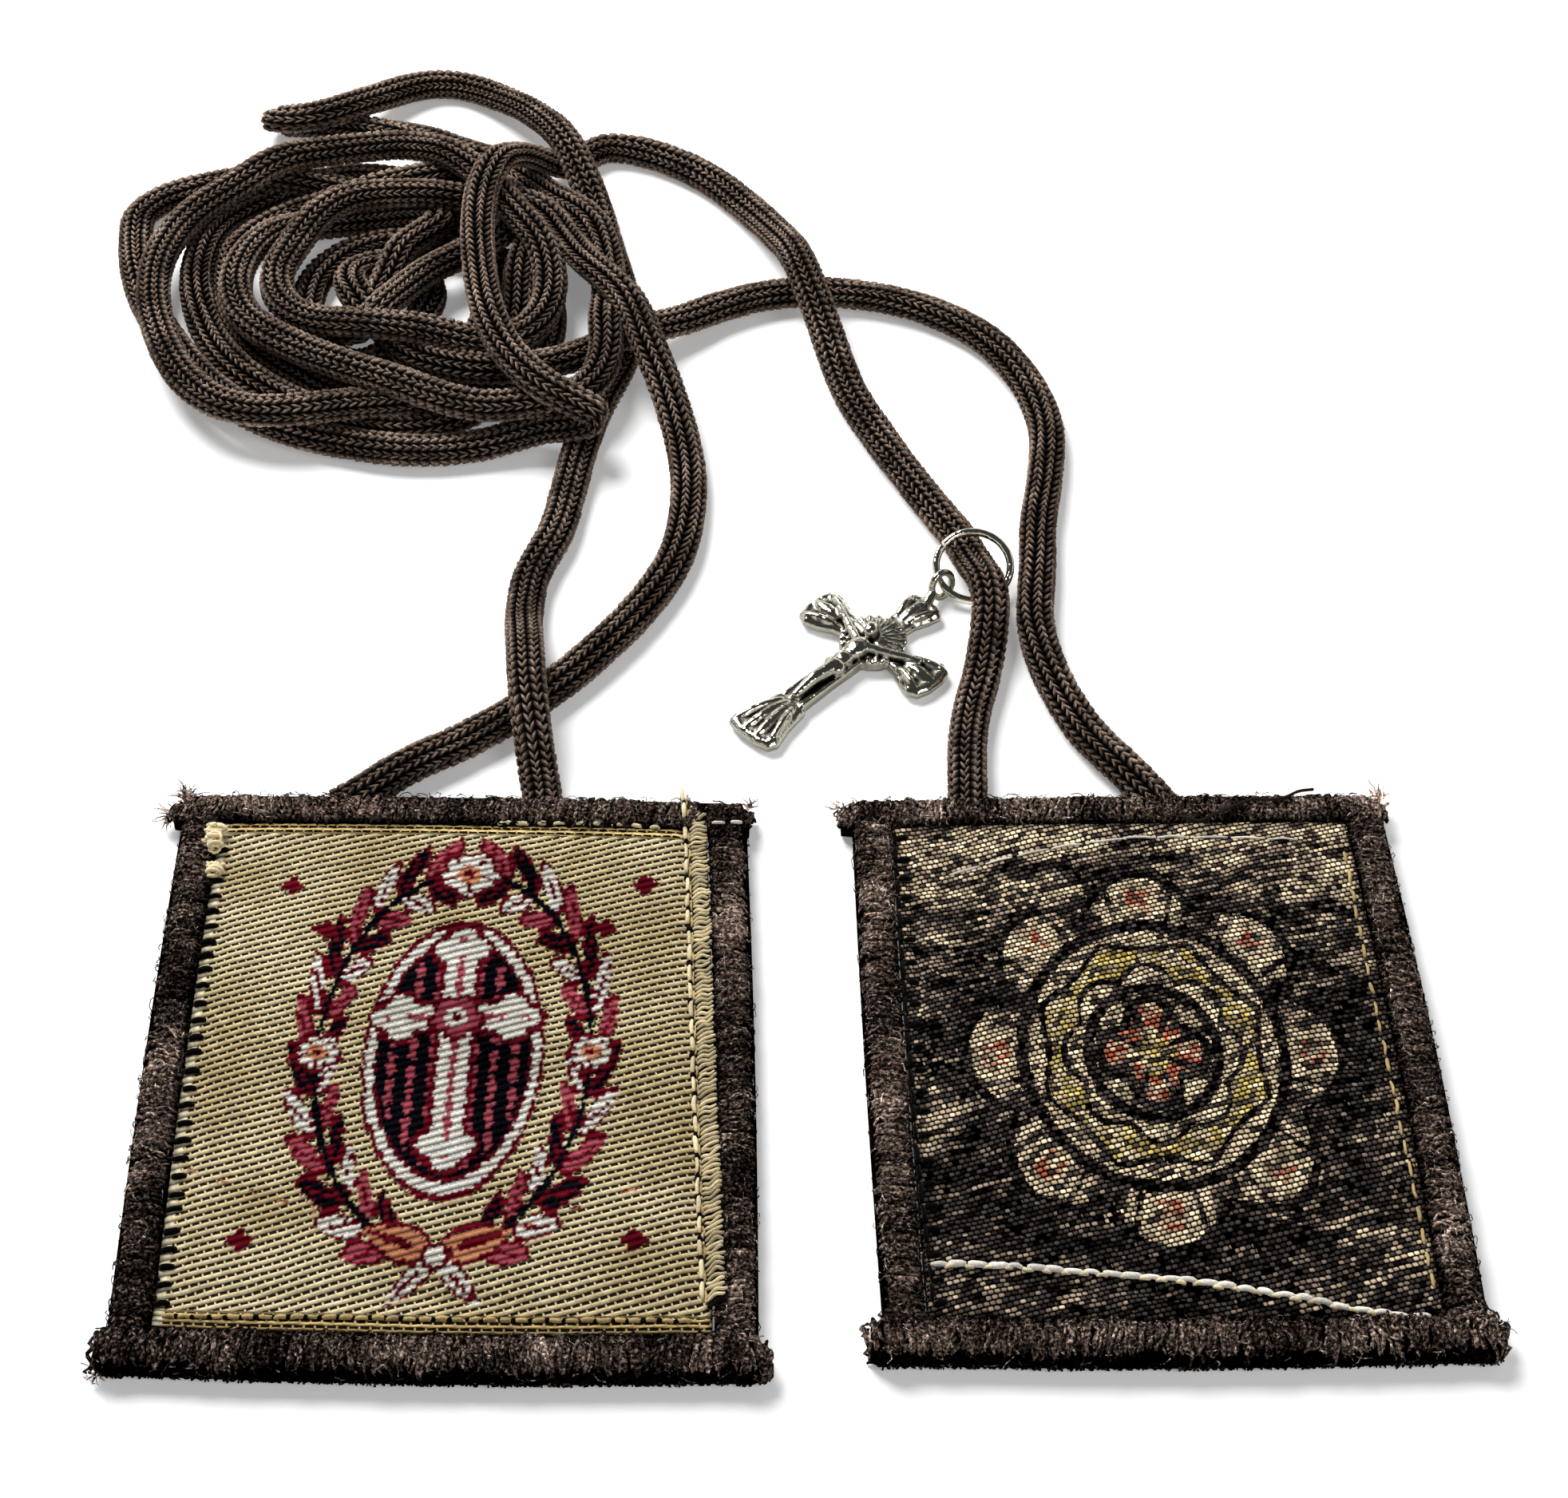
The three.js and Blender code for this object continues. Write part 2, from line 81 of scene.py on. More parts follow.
# A mesh object from points in mm and faces given as arrays of three or four corners.
def meshObject(name, points, faceSets, material):
    flat = [np.asarray(f, np.int32) for f in faceSets if len(f)]
    sizes = np.concatenate([np.full(len(f), f.shape[1], np.int32) for f in flat])
    mesh = bpy.data.meshes.new(name)
    mesh.vertices.add(len(points))
    mesh.vertices.foreach_set("co", (np.asarray(points, np.float32) * mm).ravel())
    mesh.loops.add(int(sizes.sum()))
    mesh.loops.foreach_set("vertex_index", np.concatenate([f.ravel() for f in flat]))
    mesh.polygons.add(len(sizes))
    mesh.polygons.foreach_set("loop_start", np.concatenate([[0], np.cumsum(sizes)[:-1]]).astype(np.int32))
    mesh.polygons.foreach_set("loop_total", sizes)
    mesh.polygons.foreach_set("use_smooth", np.ones(len(sizes), bool))
    mesh.update(calc_edges=True)
    mesh.validate()
    mesh.materials.append(material)
    piece = bpy.data.objects.new(name, mesh)
    scene.collection.objects.link(piece)
    return piece


def pointColour(piece, name, colours):
    layer = piece.data.color_attributes.new(name, "FLOAT_COLOR", "POINT")
    full = np.ones((len(colours), 4), np.float32)
    full[:, :3] = colours
    layer.data.foreach_set("color", full.ravel())


def setWeave(piece, places):
    layer = piece.data.attributes.new("weave", "FLOAT_VECTOR", "POINT")
    layer.data.foreach_set("vector", np.asarray(places, np.float32).ravel())


# Faces of a closed tube: rings of around points each, then a point in the middle of each end.
def tubeFaces(rings, around):
    i, j = np.meshgrid(np.arange(rings - 1), np.arange(around), indexing="ij")
    a, b = (i * around + j).ravel(), (i * around + (j + 1) % around).ravel()
    k = np.arange(around)
    n, last, tip = (k + 1) % around, (rings - 1) * around, np.full(around, rings * around)
    quads = np.stack([a, b, b + around, a + around], -1)
    return quads, np.concatenate([np.stack([tip, n, k], -1), np.stack([tip + 1, last + k, last + n], -1)])


# Tubes carried along many paths at once. paths is (count, stations, 3) in mm, radii is
# (count, stations). Each ring lies square to its path, and the ends close to a point.
def tubes(paths, radii, sides):
    count, stations = radii.shape
    run = np.gradient(paths, axis=1)
    run /= np.linalg.norm(run, axis=2, keepdims=True) + 1e-9
    up = np.zeros_like(run)
    up[..., 2] = 1
    across = np.cross(up, run)
    weak = np.linalg.norm(across, axis=2, keepdims=True) < 0.05
    across = np.where(weak, np.cross([0.3, 1.0, 0.0], run), across)
    across /= np.linalg.norm(across, axis=2, keepdims=True) + 1e-9
    turned = np.sign((across[:, 1:] * across[:, :-1]).sum(2, keepdims=True) + 1e-12)
    across[:, 1:] *= np.cumprod(turned, axis=1)
    above = np.cross(run, across)
    angle = 2 * math.pi * np.arange(sides) / sides
    ring = np.cos(angle)[:, None] * across[:, :, None, :] + np.sin(angle)[:, None] * above[:, :, None, :]
    body = paths[:, :, None, :] + ring * radii[:, :, None, None]
    first, last = paths[:, 0] - run[:, 0] * radii[:, :1] * 0.5, paths[:, -1] + run[:, -1] * radii[:, -1:] * 0.5
    points = np.concatenate([body.reshape(count, -1, 3), np.stack([first, last], 1)], 1)
    quads, ends = tubeFaces(stations, sides)
    shift = (np.arange(count) * points.shape[1])[:, None, None]
    return points.reshape(-1, 3), (quads + shift).reshape(-1, 4), (ends + shift).reshape(-1, 3)


# A part (points, quads, triangles) with one colour for each of its tubes.
def tinted(part, colours):
    return part, np.repeat(colours, len(part[0]) // len(colours), axis=0)


# One object from many coloured parts. The colours are stored as cube roots.
def yarnPiece(name, coloured, material):
    points, quads, tris, base = [], [], [], 0
    for (p, q, t), colours in coloured:
        points.append(p)
        quads.append(q + base)
        tris.append(t + base)
        base += len(p)
    piece = meshObject(name, np.concatenate(points), [np.concatenate(quads), np.concatenate(tris)], material)
    pointColour(piece, "yarn", np.cbrt(np.concatenate([colours for part, colours in coloured])))
    print(name, "triangles", sum(2 * len(q) for q in quads) + sum(len(t) for t in tris))
    return piece


# Adds one node and keeps it in made. A value is a setting where the node has one of that name,
# else an input: a number, or an earlier node's name with, after a dot, the output it takes.
def addNode(tree, made, name, kind, values):
    made[name] = node = tree.nodes.new("ShaderNode" + kind)
    for key, value in values.items():
        if isinstance(key, str) and hasattr(node, key):
            setattr(node, key, value)
        elif isinstance(value, str):
            source, dot, output = value.partition(".")
            tree.links.new(made[source].outputs[output or 0], node.inputs[key])
        else:
            node.inputs[key].default_value = value


# Nodes from rows of (name, kind, values), and which of them feed the inputs of the last node.
def addNodes(tree, end, rows, feeds):
    made = {}
    for row in rows:
        addNode(tree, made, *row)
    for key, source in feeds.items():
        tree.links.new(made[source].outputs[0], tree.nodes[end].inputs[key])


def newMaterial(name, settings, rows, feeds):
    material = bpy.data.materials.new(name)
    material.use_nodes = True
    for key, value in settings.items():
        material.node_tree.nodes["Principled BSDF"].inputs[key].default_value = value
    addNodes(material.node_tree, "Principled BSDF", rows, feeds)
    return material


# Camera, floor and light

stage = {
    "lens": 70.57,
    "lookAt": (-0.54, 37.74, 0.0),  # mm, at the middle of the picture
    "distance": 283.0,
    "elevation": 46.717,
    "floor": "#ffffff",
    "floorGlow": 0.22,  # painted light: the board glows a little of its own, which keeps shadows pale
    "worldLow": 0.95,  # strength of the world's light at the horizon
    "worldHigh": 0.05,  # and overhead, dark so that metal and gaps have contrast
    "keyWatts": 4.4,
    "keySize": 0.34,
    "fillWatts": 0.6,
}

cameraData = bpy.data.cameras.new("camera")
cameraData.lens = stage["lens"]
cameraData.sensor_width = 36
cameraData.clip_start, cameraData.clip_end = 0.01, 10
camera = bpy.data.objects.new("camera", cameraData)
scene.collection.objects.link(camera)
scene.camera = camera
target = Vector(stage["lookAt"]) * mm
tilt = math.radians(stage["elevation"])
back = Vector((0, -math.cos(tilt), math.sin(tilt)))
camera.location = target + back * stage["distance"] * mm
camera.rotation_euler = (math.pi / 2 - tilt, 0, 0)

world = bpy.data.worlds.new("studio")
scene.world = world
world.use_nodes = True
sky = world.node_tree
sky.nodes["Background"].inputs["Color"].default_value = (1, 1, 1, 1)
addNodes(sky, "Background", [
    ("place", "TexCoord", {}),
    ("height", "SeparateXYZ", {"Vector": "place.Generated"}),
    ("fade", "MapRange", {
        "interpolation_type": "SMOOTHSTEP", "From Min": 0.10, "From Max": 0.65,
        "To Min": stage["worldLow"], "To Max": stage["worldHigh"], "Value": "height.Z",
    }),
], {"Strength": "fade"})
scene.view_settings.view_transform = "Standard"


def areaLight(name, place, aim, size, watts):
    data = bpy.data.lights.new(name, "AREA")
    data.shape = "DISK"
    data.size = size
    data.energy = watts
    lamp = bpy.data.objects.new(name, data)
    scene.collection.objects.link(lamp)
    lamp.location = place
    lamp.rotation_euler = (Vector(aim) - Vector(place)).to_track_quat("-Z", "Y").to_euler()


areaLight("key", (-0.22, 0.34, 0.42), (0, 0.03, 0), stage["keySize"], stage["keyWatts"])
areaLight("fill", (0.30, -0.25, 0.40), (0, 0.03, 0), 0.30, stage["fillWatts"])

# Matt white board: even, faintly grained, with a painted glow of its own that keeps shadows pale.
boardMaterial = newMaterial("whiteBoardMatt", {
    "Base Color": rgba(stage["floor"]), "Roughness": 0.9,
    "Emission Color": rgba(stage["floor"]), "Emission Strength": stage["floorGlow"],
}, [
    ("grain", "TexNoise", {"Scale": 900.0, "Detail": 3.0}),
    ("bump", "Bump", {"Strength": 0.04, "Distance": 0.0002, "Height": "grain.Fac"}),
], {"Normal": "bump"})
floorPoints = np.array([[-1, -1, 0], [1, -1, 0], [1, 1, 0], [-1, 1, 0]]) * 900.0
floorPoints[:, 2] = -0.02
floor = meshObject("floor", floorPoints, [np.array([[0, 1, 2, 3]])], boardMaterial)
print("stage made")


# Cords

cordLook = {
    "width": 3.6,
    "height": 2.6,
    "wales": 9,  # columns of stitches round the cord
    "course": 0.93,  # mm along the cord for one stitch
    "legWide": 0.30,
    "legHigh": 0.30,
    "slant": 0.60,  # how far a leg leans, as a share of a wale
    "light": "#917f71",
    "middle": "#40332b",
    # near-black core: painted shade in the gaps between stitches
    "dark": "#030202",
}

# The routes of the cords' middle lines in mm, as in the CAD source outside the hank. Inside it
# the turns follow the strands that show: bottom, left side, top, and back under the raised loop.
bLeft = [
    (15.9, 27.2, 1.5), (16.0, 30.1, 1.6), (16.1, 33.5, 1.6), (16.3, 37.5, 1.4), (16.9, 41.5, 1.4), (18.0, 46.0, 1.5),
    (18.7, 50.0, 2.2), (19.1, 53.5, 3.1), (18.8, 56.3, 3.4), (18.3, 58.8, 2.6), (17.7, 61.3, 1.6),
    (17.0, 63.8, 1.4), (15.3, 67.1, 1.4), (12.3, 73.0, 1.4), (9.0, 79.9, 1.4), (6.0, 87.0, 1.6),
    (3.9, 94.0, 3.2), (2.3, 99.5, 4.6), (0.6, 105.5, 4.6), (-1.4, 111.5, 2.8), (-4.4, 117.6, 1.5),
    (-9.6, 123.9, 1.4), (-16.8, 128.4, 1.4), (-20.8, 128.8, 1.4), (-22.8, 127.2, 1.4),
]
bRight = [
    (34.2, 27.6, 1.5), (32.3, 30.8, 1.6), (30.3, 33.9, 1.6), (27.6, 38.0, 1.4), (25.6, 42.5, 1.4), (24.1, 47.5, 1.4),
    (23.4, 52.5, 1.4), (23.6, 56.5, 1.4), (24.0, 60.5, 1.4), (24.4, 66.8, 1.4), (25.4, 73.0, 1.4),
    (26.0, 81.2, 1.4), (24.2, 88.7, 1.4), (20.2, 95.6, 1.4), (13.6, 100.6, 1.4), (6.1, 102.9, 1.4),
    (-1.5, 102.7, 1.4), (-7.5, 100.3, 1.4), (-11.6, 97.6, 1.4),
]
aRight = [
    (-22.0, 27.4, 1.5), (-22.3, 30.3, 1.6), (-22.7, 32.5, 1.6), (-23.5, 37.0, 3.7), (-24.0, 40.5, 4.7),
    (-24.5, 45.5, 4.7), (-25.0, 50.0, 3.0), (-25.3, 54.5, 1.5), (-24.9, 59.5, 1.4), (-22.9, 65.7, 1.4),
    (-21.9, 72.7, 1.4), (-21.2, 78.7, 1.4), (-20.2, 84.0, 1.4), (-18.7, 90.0, 1.4), (-17.7, 95.0, 1.4),
]
topLoop = [
    (-17.7, 100.5, 1.4), (-18.3, 104.5, 1.4), (-19.6, 110.0, 1.4), (-21.2, 116.5, 1.8), (-23.0, 121.4, 3.6),
    (-25.4, 126.8, 4.6), (-28.6, 132.4, 3.6), (-32.7, 137.6, 2.0), (-37.4, 140.9, 1.4), (-41.6, 141.0, 1.5),
    (-45.6, 138.1, 2.2), (-48.4, 134.8, 3.3), (-51.4, 132.0, 4.0), (-54.0, 130.9, 4.1),
]
fold = [
    (-56.2, 131.0, 3.9), (-57.7, 131.8, 3.2), (-58.0, 132.8, 2.3), (-57.0, 133.5, 1.6), (-55.0, 133.7, 1.4),
    (-52.0, 133.3, 1.4), (-48.0, 132.5, 1.4), (-43.0, 131.0, 1.4), (-39.0, 129.2, 1.4), (-35.9, 126.9, 1.4),
]
aLeft = [
    (-41.6, 28.2, 1.5), (-37.9, 31.2, 1.6), (-34.8, 34.1, 1.6), (-30.2, 37.2, 1.4), (-25.0, 41.4, 1.4),
    (-20.1, 46.6, 1.4), (-14.6, 54.3, 1.4), (-11.0, 62.3, 1.4), (-10.0, 71.5, 1.4), (-10.9, 79.0, 1.8),
    (-13.0, 85.5, 3.7), (-15.4, 91.0, 4.6), (-18.3, 98.0, 4.6), (-21.0, 104.0, 4.2), (-23.6, 110.4, 3.2),
    (-25.7, 114.2, 3.0),
]
raisedLoop = [
    (-24.2, 125.4, 1.6), (-26.0, 124.4, 2.6), (-28.6, 122.2, 5.0), (-31.2, 118.0, 7.2), (-32.7, 112.6, 7.6),
    (-32.9, 106.7, 7.6), (-32.2, 99.2, 7.6), (-30.7, 91.8, 7.6), (-28.1, 85.3, 7.6),
]
outerTurn = [  # from the right end along the bottom, up the left edge and under the second turn
    (-24.6, 80.9, 7.4), (-21.2, 79.2, 6.4), (-19.0, 78.6, 5.2), (-21.0, 79.0, 3.8), (-25.0, 79.8, 2.6),
    (-30.0, 78.9, 1.6), (-34.6, 78.4, 1.4), (-39.0, 78.9, 1.4), (-44.1, 80.4, 1.4), (-49.4, 81.4, 1.4),
    (-54.5, 83.6, 1.4), (-59.4, 87.8, 1.4), (-63.6, 93.4, 1.4), (-67.2, 99.6, 1.4), (-69.4, 105.1, 1.5),
    (-70.6, 111.3, 1.5), (-70.5, 117.0, 1.5), (-65.6, 120.2, 1.5), (-59.0, 120.8, 1.4), (-52.5, 119.8, 1.4),
    (-46.0, 119.0, 1.4), (-40.0, 117.4, 1.4), (-35.4, 113.8, 1.4), (-32.2, 109.0, 1.4), (-30.9, 103.0, 1.4),
    (-31.4, 97.0, 1.4), (-33.4, 91.5, 1.4), (-37.0, 87.2, 1.4), (-41.6, 84.0, 1.8),
]
underTurn = [  # a turn more at the bottom of the hank, inside the outer one
    (-45.6, 84.8, 1.4), (-50.0, 88.6, 1.4), (-54.2, 92.8, 1.4), (-57.8, 98.2, 1.4), (-59.8, 104.4, 1.4),
    (-59.4, 110.6, 1.4), (-55.6, 115.2, 1.4), (-49.6, 117.6, 1.4), (-43.0, 119.6, 1.4), (-36.6, 121.0, 1.4),
    (-31.0, 119.4, 1.4), (-28.6, 114.6, 1.4), (-28.2, 108.6, 1.4), (-28.4, 102.6, 1.4), (-29.0, 96.6, 1.4),
    (-31.6, 91.0, 1.4), (-35.8, 86.0, 1.4), (-40.2, 82.8, 1.6),
]
secondTurn = [  # the large turn on top of the left side
    (-45.6, 81.4, 3.0), (-49.6, 80.4, 3.9), (-52.9, 80.4, 4.0), (-56.5, 81.3, 4.0), (-60.6, 84.5, 4.0),
    (-64.4, 91.3, 4.0), (-66.6, 99.0, 4.0), (-66.8, 106.2, 4.0), (-64.3, 113.1, 4.0), (-59.1, 118.2, 4.0),
    (-53.4, 122.1, 4.0), (-47.4, 124.3, 4.0), (-42.2, 124.3, 4.0), (-37.6, 121.8, 4.0), (-33.6, 117.6, 4.2),
    (-30.6, 113.0, 4.2), (-28.0, 108.7, 3.8), (-25.9, 103.8, 3.4), (-25.4, 99.0, 3.2), (-26.6, 94.6, 3.4),
]
innerTurn = [  # round the middle, then out to the left panel
    (-29.2, 91.6, 3.8), (-32.6, 90.8, 4.0), (-37.6, 91.9, 4.0), (-43.6, 93.1, 4.0), (-48.2, 94.2, 4.0),
    (-52.1, 96.8, 4.0), (-54.2, 102.0, 4.0), (-53.3, 107.4, 4.0), (-50.9, 113.1, 4.0), (-47.3, 115.6, 4.0),
    (-43.5, 116.0, 4.0), (-39.0, 115.6, 4.0), (-34.4, 115.4, 4.2), (-29.8, 115.8, 3.8),
]
rightSide = [  # under the raised loop and down beside the top loop
    (-32.8, 125.2, 1.4), (-31.2, 121.6, 1.4), (-29.0, 118.0, 1.8), (-25.8, 114.8, 2.8), (-22.6, 111.4, 3.6),
    (-20.5, 107.0, 3.8), (-19.2, 101.6, 3.8), (-18.3, 96.4, 3.6), (-18.0, 91.5, 3.8), (-18.9, 86.6, 4.0),
]
broadTurn = [  # the turn that shows most, over the left side
    (-21.2, 82.6, 4.4), (-25.9, 80.8, 4.8), (-31.2, 80.4, 4.8), (-36.7, 82.2, 4.8), (-42.0, 84.7, 4.8),
    (-47.4, 87.8, 4.8), (-52.1, 90.9, 4.8), (-56.2, 94.6, 4.8), (-58.0, 100.1, 4.8), (-56.9, 106.1, 4.8),
    (-53.6, 111.1, 4.4), (-49.5, 114.6, 3.0), (-45.0, 116.6, 1.8), (-40.2, 116.4, 1.6), (-37.0, 114.4, 1.6),
]
middleStrands = [  # in and out of the dark middle
    (-38.6, 111.6, 1.6), (-41.3, 108.1, 1.6), (-42.8, 103.8, 1.5), (-44.6, 99.0, 1.4), (-46.2, 95.0, 1.4),
    (-44.6, 92.6, 1.4), (-42.2, 95.4, 1.4), (-40.6, 99.6, 1.5), (-38.0, 103.6, 1.6), (-34.6, 106.6, 1.6),
    (-31.0, 110.4, 1.5), (-30.6, 115.2, 1.4), (-33.8, 119.2, 1.4), (-39.4, 121.6, 1.4), (-46.0, 122.6, 1.4),
]
lastTurn = [  # under the second turn, down the left, a spiral in the middle, and out to the right panel
    (-53.0, 121.0, 1.4), (-58.6, 118.0, 1.4), (-62.2, 113.4, 1.8), (-63.0, 104.9, 2.0), (-60.9, 96.1, 2.0),
    (-56.4, 89.2, 1.8), (-50.0, 84.8, 1.5), (-43.8, 82.6, 1.4), (-38.0, 82.6, 1.4), (-32.6, 84.6, 1.4),
    (-28.0, 88.6, 1.4), (-25.6, 94.6, 1.4), (-26.4, 101.6, 1.4), (-29.6, 107.4, 1.4), (-34.6, 111.0, 1.4),
    (-40.6, 112.4, 1.4), (-46.4, 110.6, 1.4), (-50.0, 106.0, 1.4), (-50.2, 100.2, 1.4), (-47.4, 94.8, 1.4),
    (-43.6, 92.6, 1.4), (-40.4, 97.6, 1.4), (-38.6, 103.2, 1.4), (-41.4, 107.6, 1.4), (-45.8, 105.6, 1.4),
    (-45.4, 99.6, 1.4), (-42.0, 93.6, 1.4), (-36.6, 89.4, 1.4), (-30.4, 87.8, 1.4), (-24.6, 89.6, 1.4),
    (-20.0, 92.2, 1.4), (-16.6, 94.6, 1.4),
]


# A smooth curve through the points (Catmull-Rom with knots at the square root of each
# distance), then stations at even spacing along it.
def curveThrough(points, step):
    p = np.array(points, float)
    p = np.concatenate([[2 * p[0] - p[1]], p, [2 * p[-1] - p[-2]]])
    gap = np.sqrt(np.linalg.norm(np.diff(p, axis=0), axis=1))
    d0, d1, d2 = gap[:-2, None, None], gap[1:-1, None, None], gap[2:, None, None]
    p0, p1, p2, p3 = (p[i:len(p) - 3 + i][:, None, :] for i in range(4))
    t = np.linspace(0, 1, 24, endpoint=False)[None, :, None] * d1
    a1 = (-t * p0 + (t + d0) * p1) / d0
    a2 = ((d1 - t) * p1 + t * p2) / d1
    a3 = ((d1 + d2 - t) * p2 + (t - d1) * p3) / d2
    b1 = ((d1 - t) * a1 + (t + d0) * a2) / (d0 + d1)
    b2 = ((d1 + d2 - t) * a2 + t * a3) / (d1 + d2)
    c = (((d1 - t) * b1 + t * b2) / d1).reshape(-1, 3)
    return evenly(np.concatenate([c, p[-2:-1]]), step)


def evenly(line, step):
    far = np.concatenate([[0], np.cumsum(np.linalg.norm(np.diff(line, axis=0), axis=1))])
    at = np.linspace(0, far[-1], max(8, int(round(far[-1] / step)) + 1))
    return np.stack([np.interp(at, far, line[:, k]) for k in range(3)], 1)


# Averages along a line, with its ends held.
def eased(line, width):
    kernel = np.hanning(2 * width + 1)[1:-1]
    kernel /= kernel.sum()
    half = len(kernel) // 2
    padded = np.concatenate([2 * line[0] - line[half:0:-1], line, 2 * line[-1] - line[-2:-half - 2:-1]])
    return np.stack([np.convolve(padded[:, k], kernel, "valid") for k in range(line.shape[1])], 1)


# The cords settle: where two stretches are closer than their flat oval section allows, both
# move apart, mostly up and down where they cross; each stretch is drawn back to its own route
# and nothing goes below the surface.
def settle(lines, rounds=90, step=1.5):
    counts = [len(line) for line in lines]
    rest = np.concatenate(lines)
    now = rest.copy()
    owner = np.repeat(np.arange(len(lines)), counts)
    order = np.concatenate([np.arange(c) for c in counts])
    apart = (owner[:, None] != owner[None, :]) | (np.abs(order[:, None] - order[None, :]) * step > 9.0)
    size = np.array([cordLook["width"] * 0.97, cordLook["width"] * 0.97, cordLook["height"] * 0.94])
    for turn in range(rounds):
        gap = (now[:, None, :] - now[None, :, :]) / size
        far = np.sqrt((gap ** 2).sum(2)) + 1e-6
        push = np.where(apart & (far < 1), (1 - far) / far, 0)
        move = (push[:, :, None] * gap).sum(1) * size
        hits = np.maximum((push > 0).sum(1), 1)[:, None]
        now += 0.55 * move / np.sqrt(hits) * [0.8, 0.8, 1.0]
        pull = 0.03 if turn < rounds - 20 else 0.0
        now += pull * (rest - now)
        now[:, 2] = np.maximum(now[:, 2], cordLook["height"] / 2 + 0.02)
        start = 0
        for count in counts:
            part = now[start:start + count]
            part[:] += 0.5 * (eased(part - rest[start:start + count], 3) + rest[start:start + count] - part)
            start += count
    now[:, 2] = np.maximum(now[:, 2], cordLook["height"] / 2 + 0.02)
    return np.split(now, np.cumsum(counts)[:-1])


crossRoute = bLeft + raisedLoop + outerTurn + underTurn + secondTurn + innerTurn + aLeft[::-1]
plainRoute = aRight + topLoop + fold + rightSide + broadTurn + middleStrands + lastTurn + bRight[::-1]
settled = settle([curveThrough(crossRoute, 1.5), curveThrough(plainRoute, 1.5)])
crossLine, plainLine = (curveThrough(line[::2], 1.0) for line in settled)
print("cords settled")


# Direction of the flat side and of the thickness at each station: square to the path and as
# level as it can be, kept from flipping where the cord stands upright in a fold.
def cordFrame(line, roll):
    run = eased(np.gradient(line, axis=0), 2)
    run /= np.linalg.norm(run, axis=1, keepdims=True)
    level = np.cross([0, 0, 1.0], run)
    turned = np.sign((level[1:] * level[:-1]).sum(1) + 1e-12)
    level[1:] *= np.cumprod(turned)[:, None]
    level = eased(level, 4)
    level -= (level * run).sum(1, keepdims=True) * run
    level /= np.linalg.norm(level, axis=1, keepdims=True)
    above = np.cross(run, level)
    c, s = np.cos(roll)[:, None], np.sin(roll)[:, None]
    return level * c + above * s, above * c - level * s


# Points on the cord's oval at places along it (in stations), at angles round it, and lifted off
# it in mm.
def onCord(line, side, above, station, angle, lift):
    count = len(line)
    station = np.clip(station, 0, count - 1.001)
    i = station.astype(int)
    f = (station - i)[..., None]
    middle, s, a = (mix(values[i], values[i + 1], f) for values in (line, side, above))
    wide = cordLook["width"] / 2 - cordLook["legHigh"] * 0.85 + lift
    high = cordLook["height"] / 2 - cordLook["legHigh"] * 0.85 + lift
    c, n = np.cos(angle)[..., None], np.sin(angle)[..., None]
    squarer = (np.abs(c) ** 2.6 + np.abs(n) ** 2.6) ** (-1 / 2.6)
    return middle + (s * c * wide[..., None] + a * n * high[..., None]) * squarer
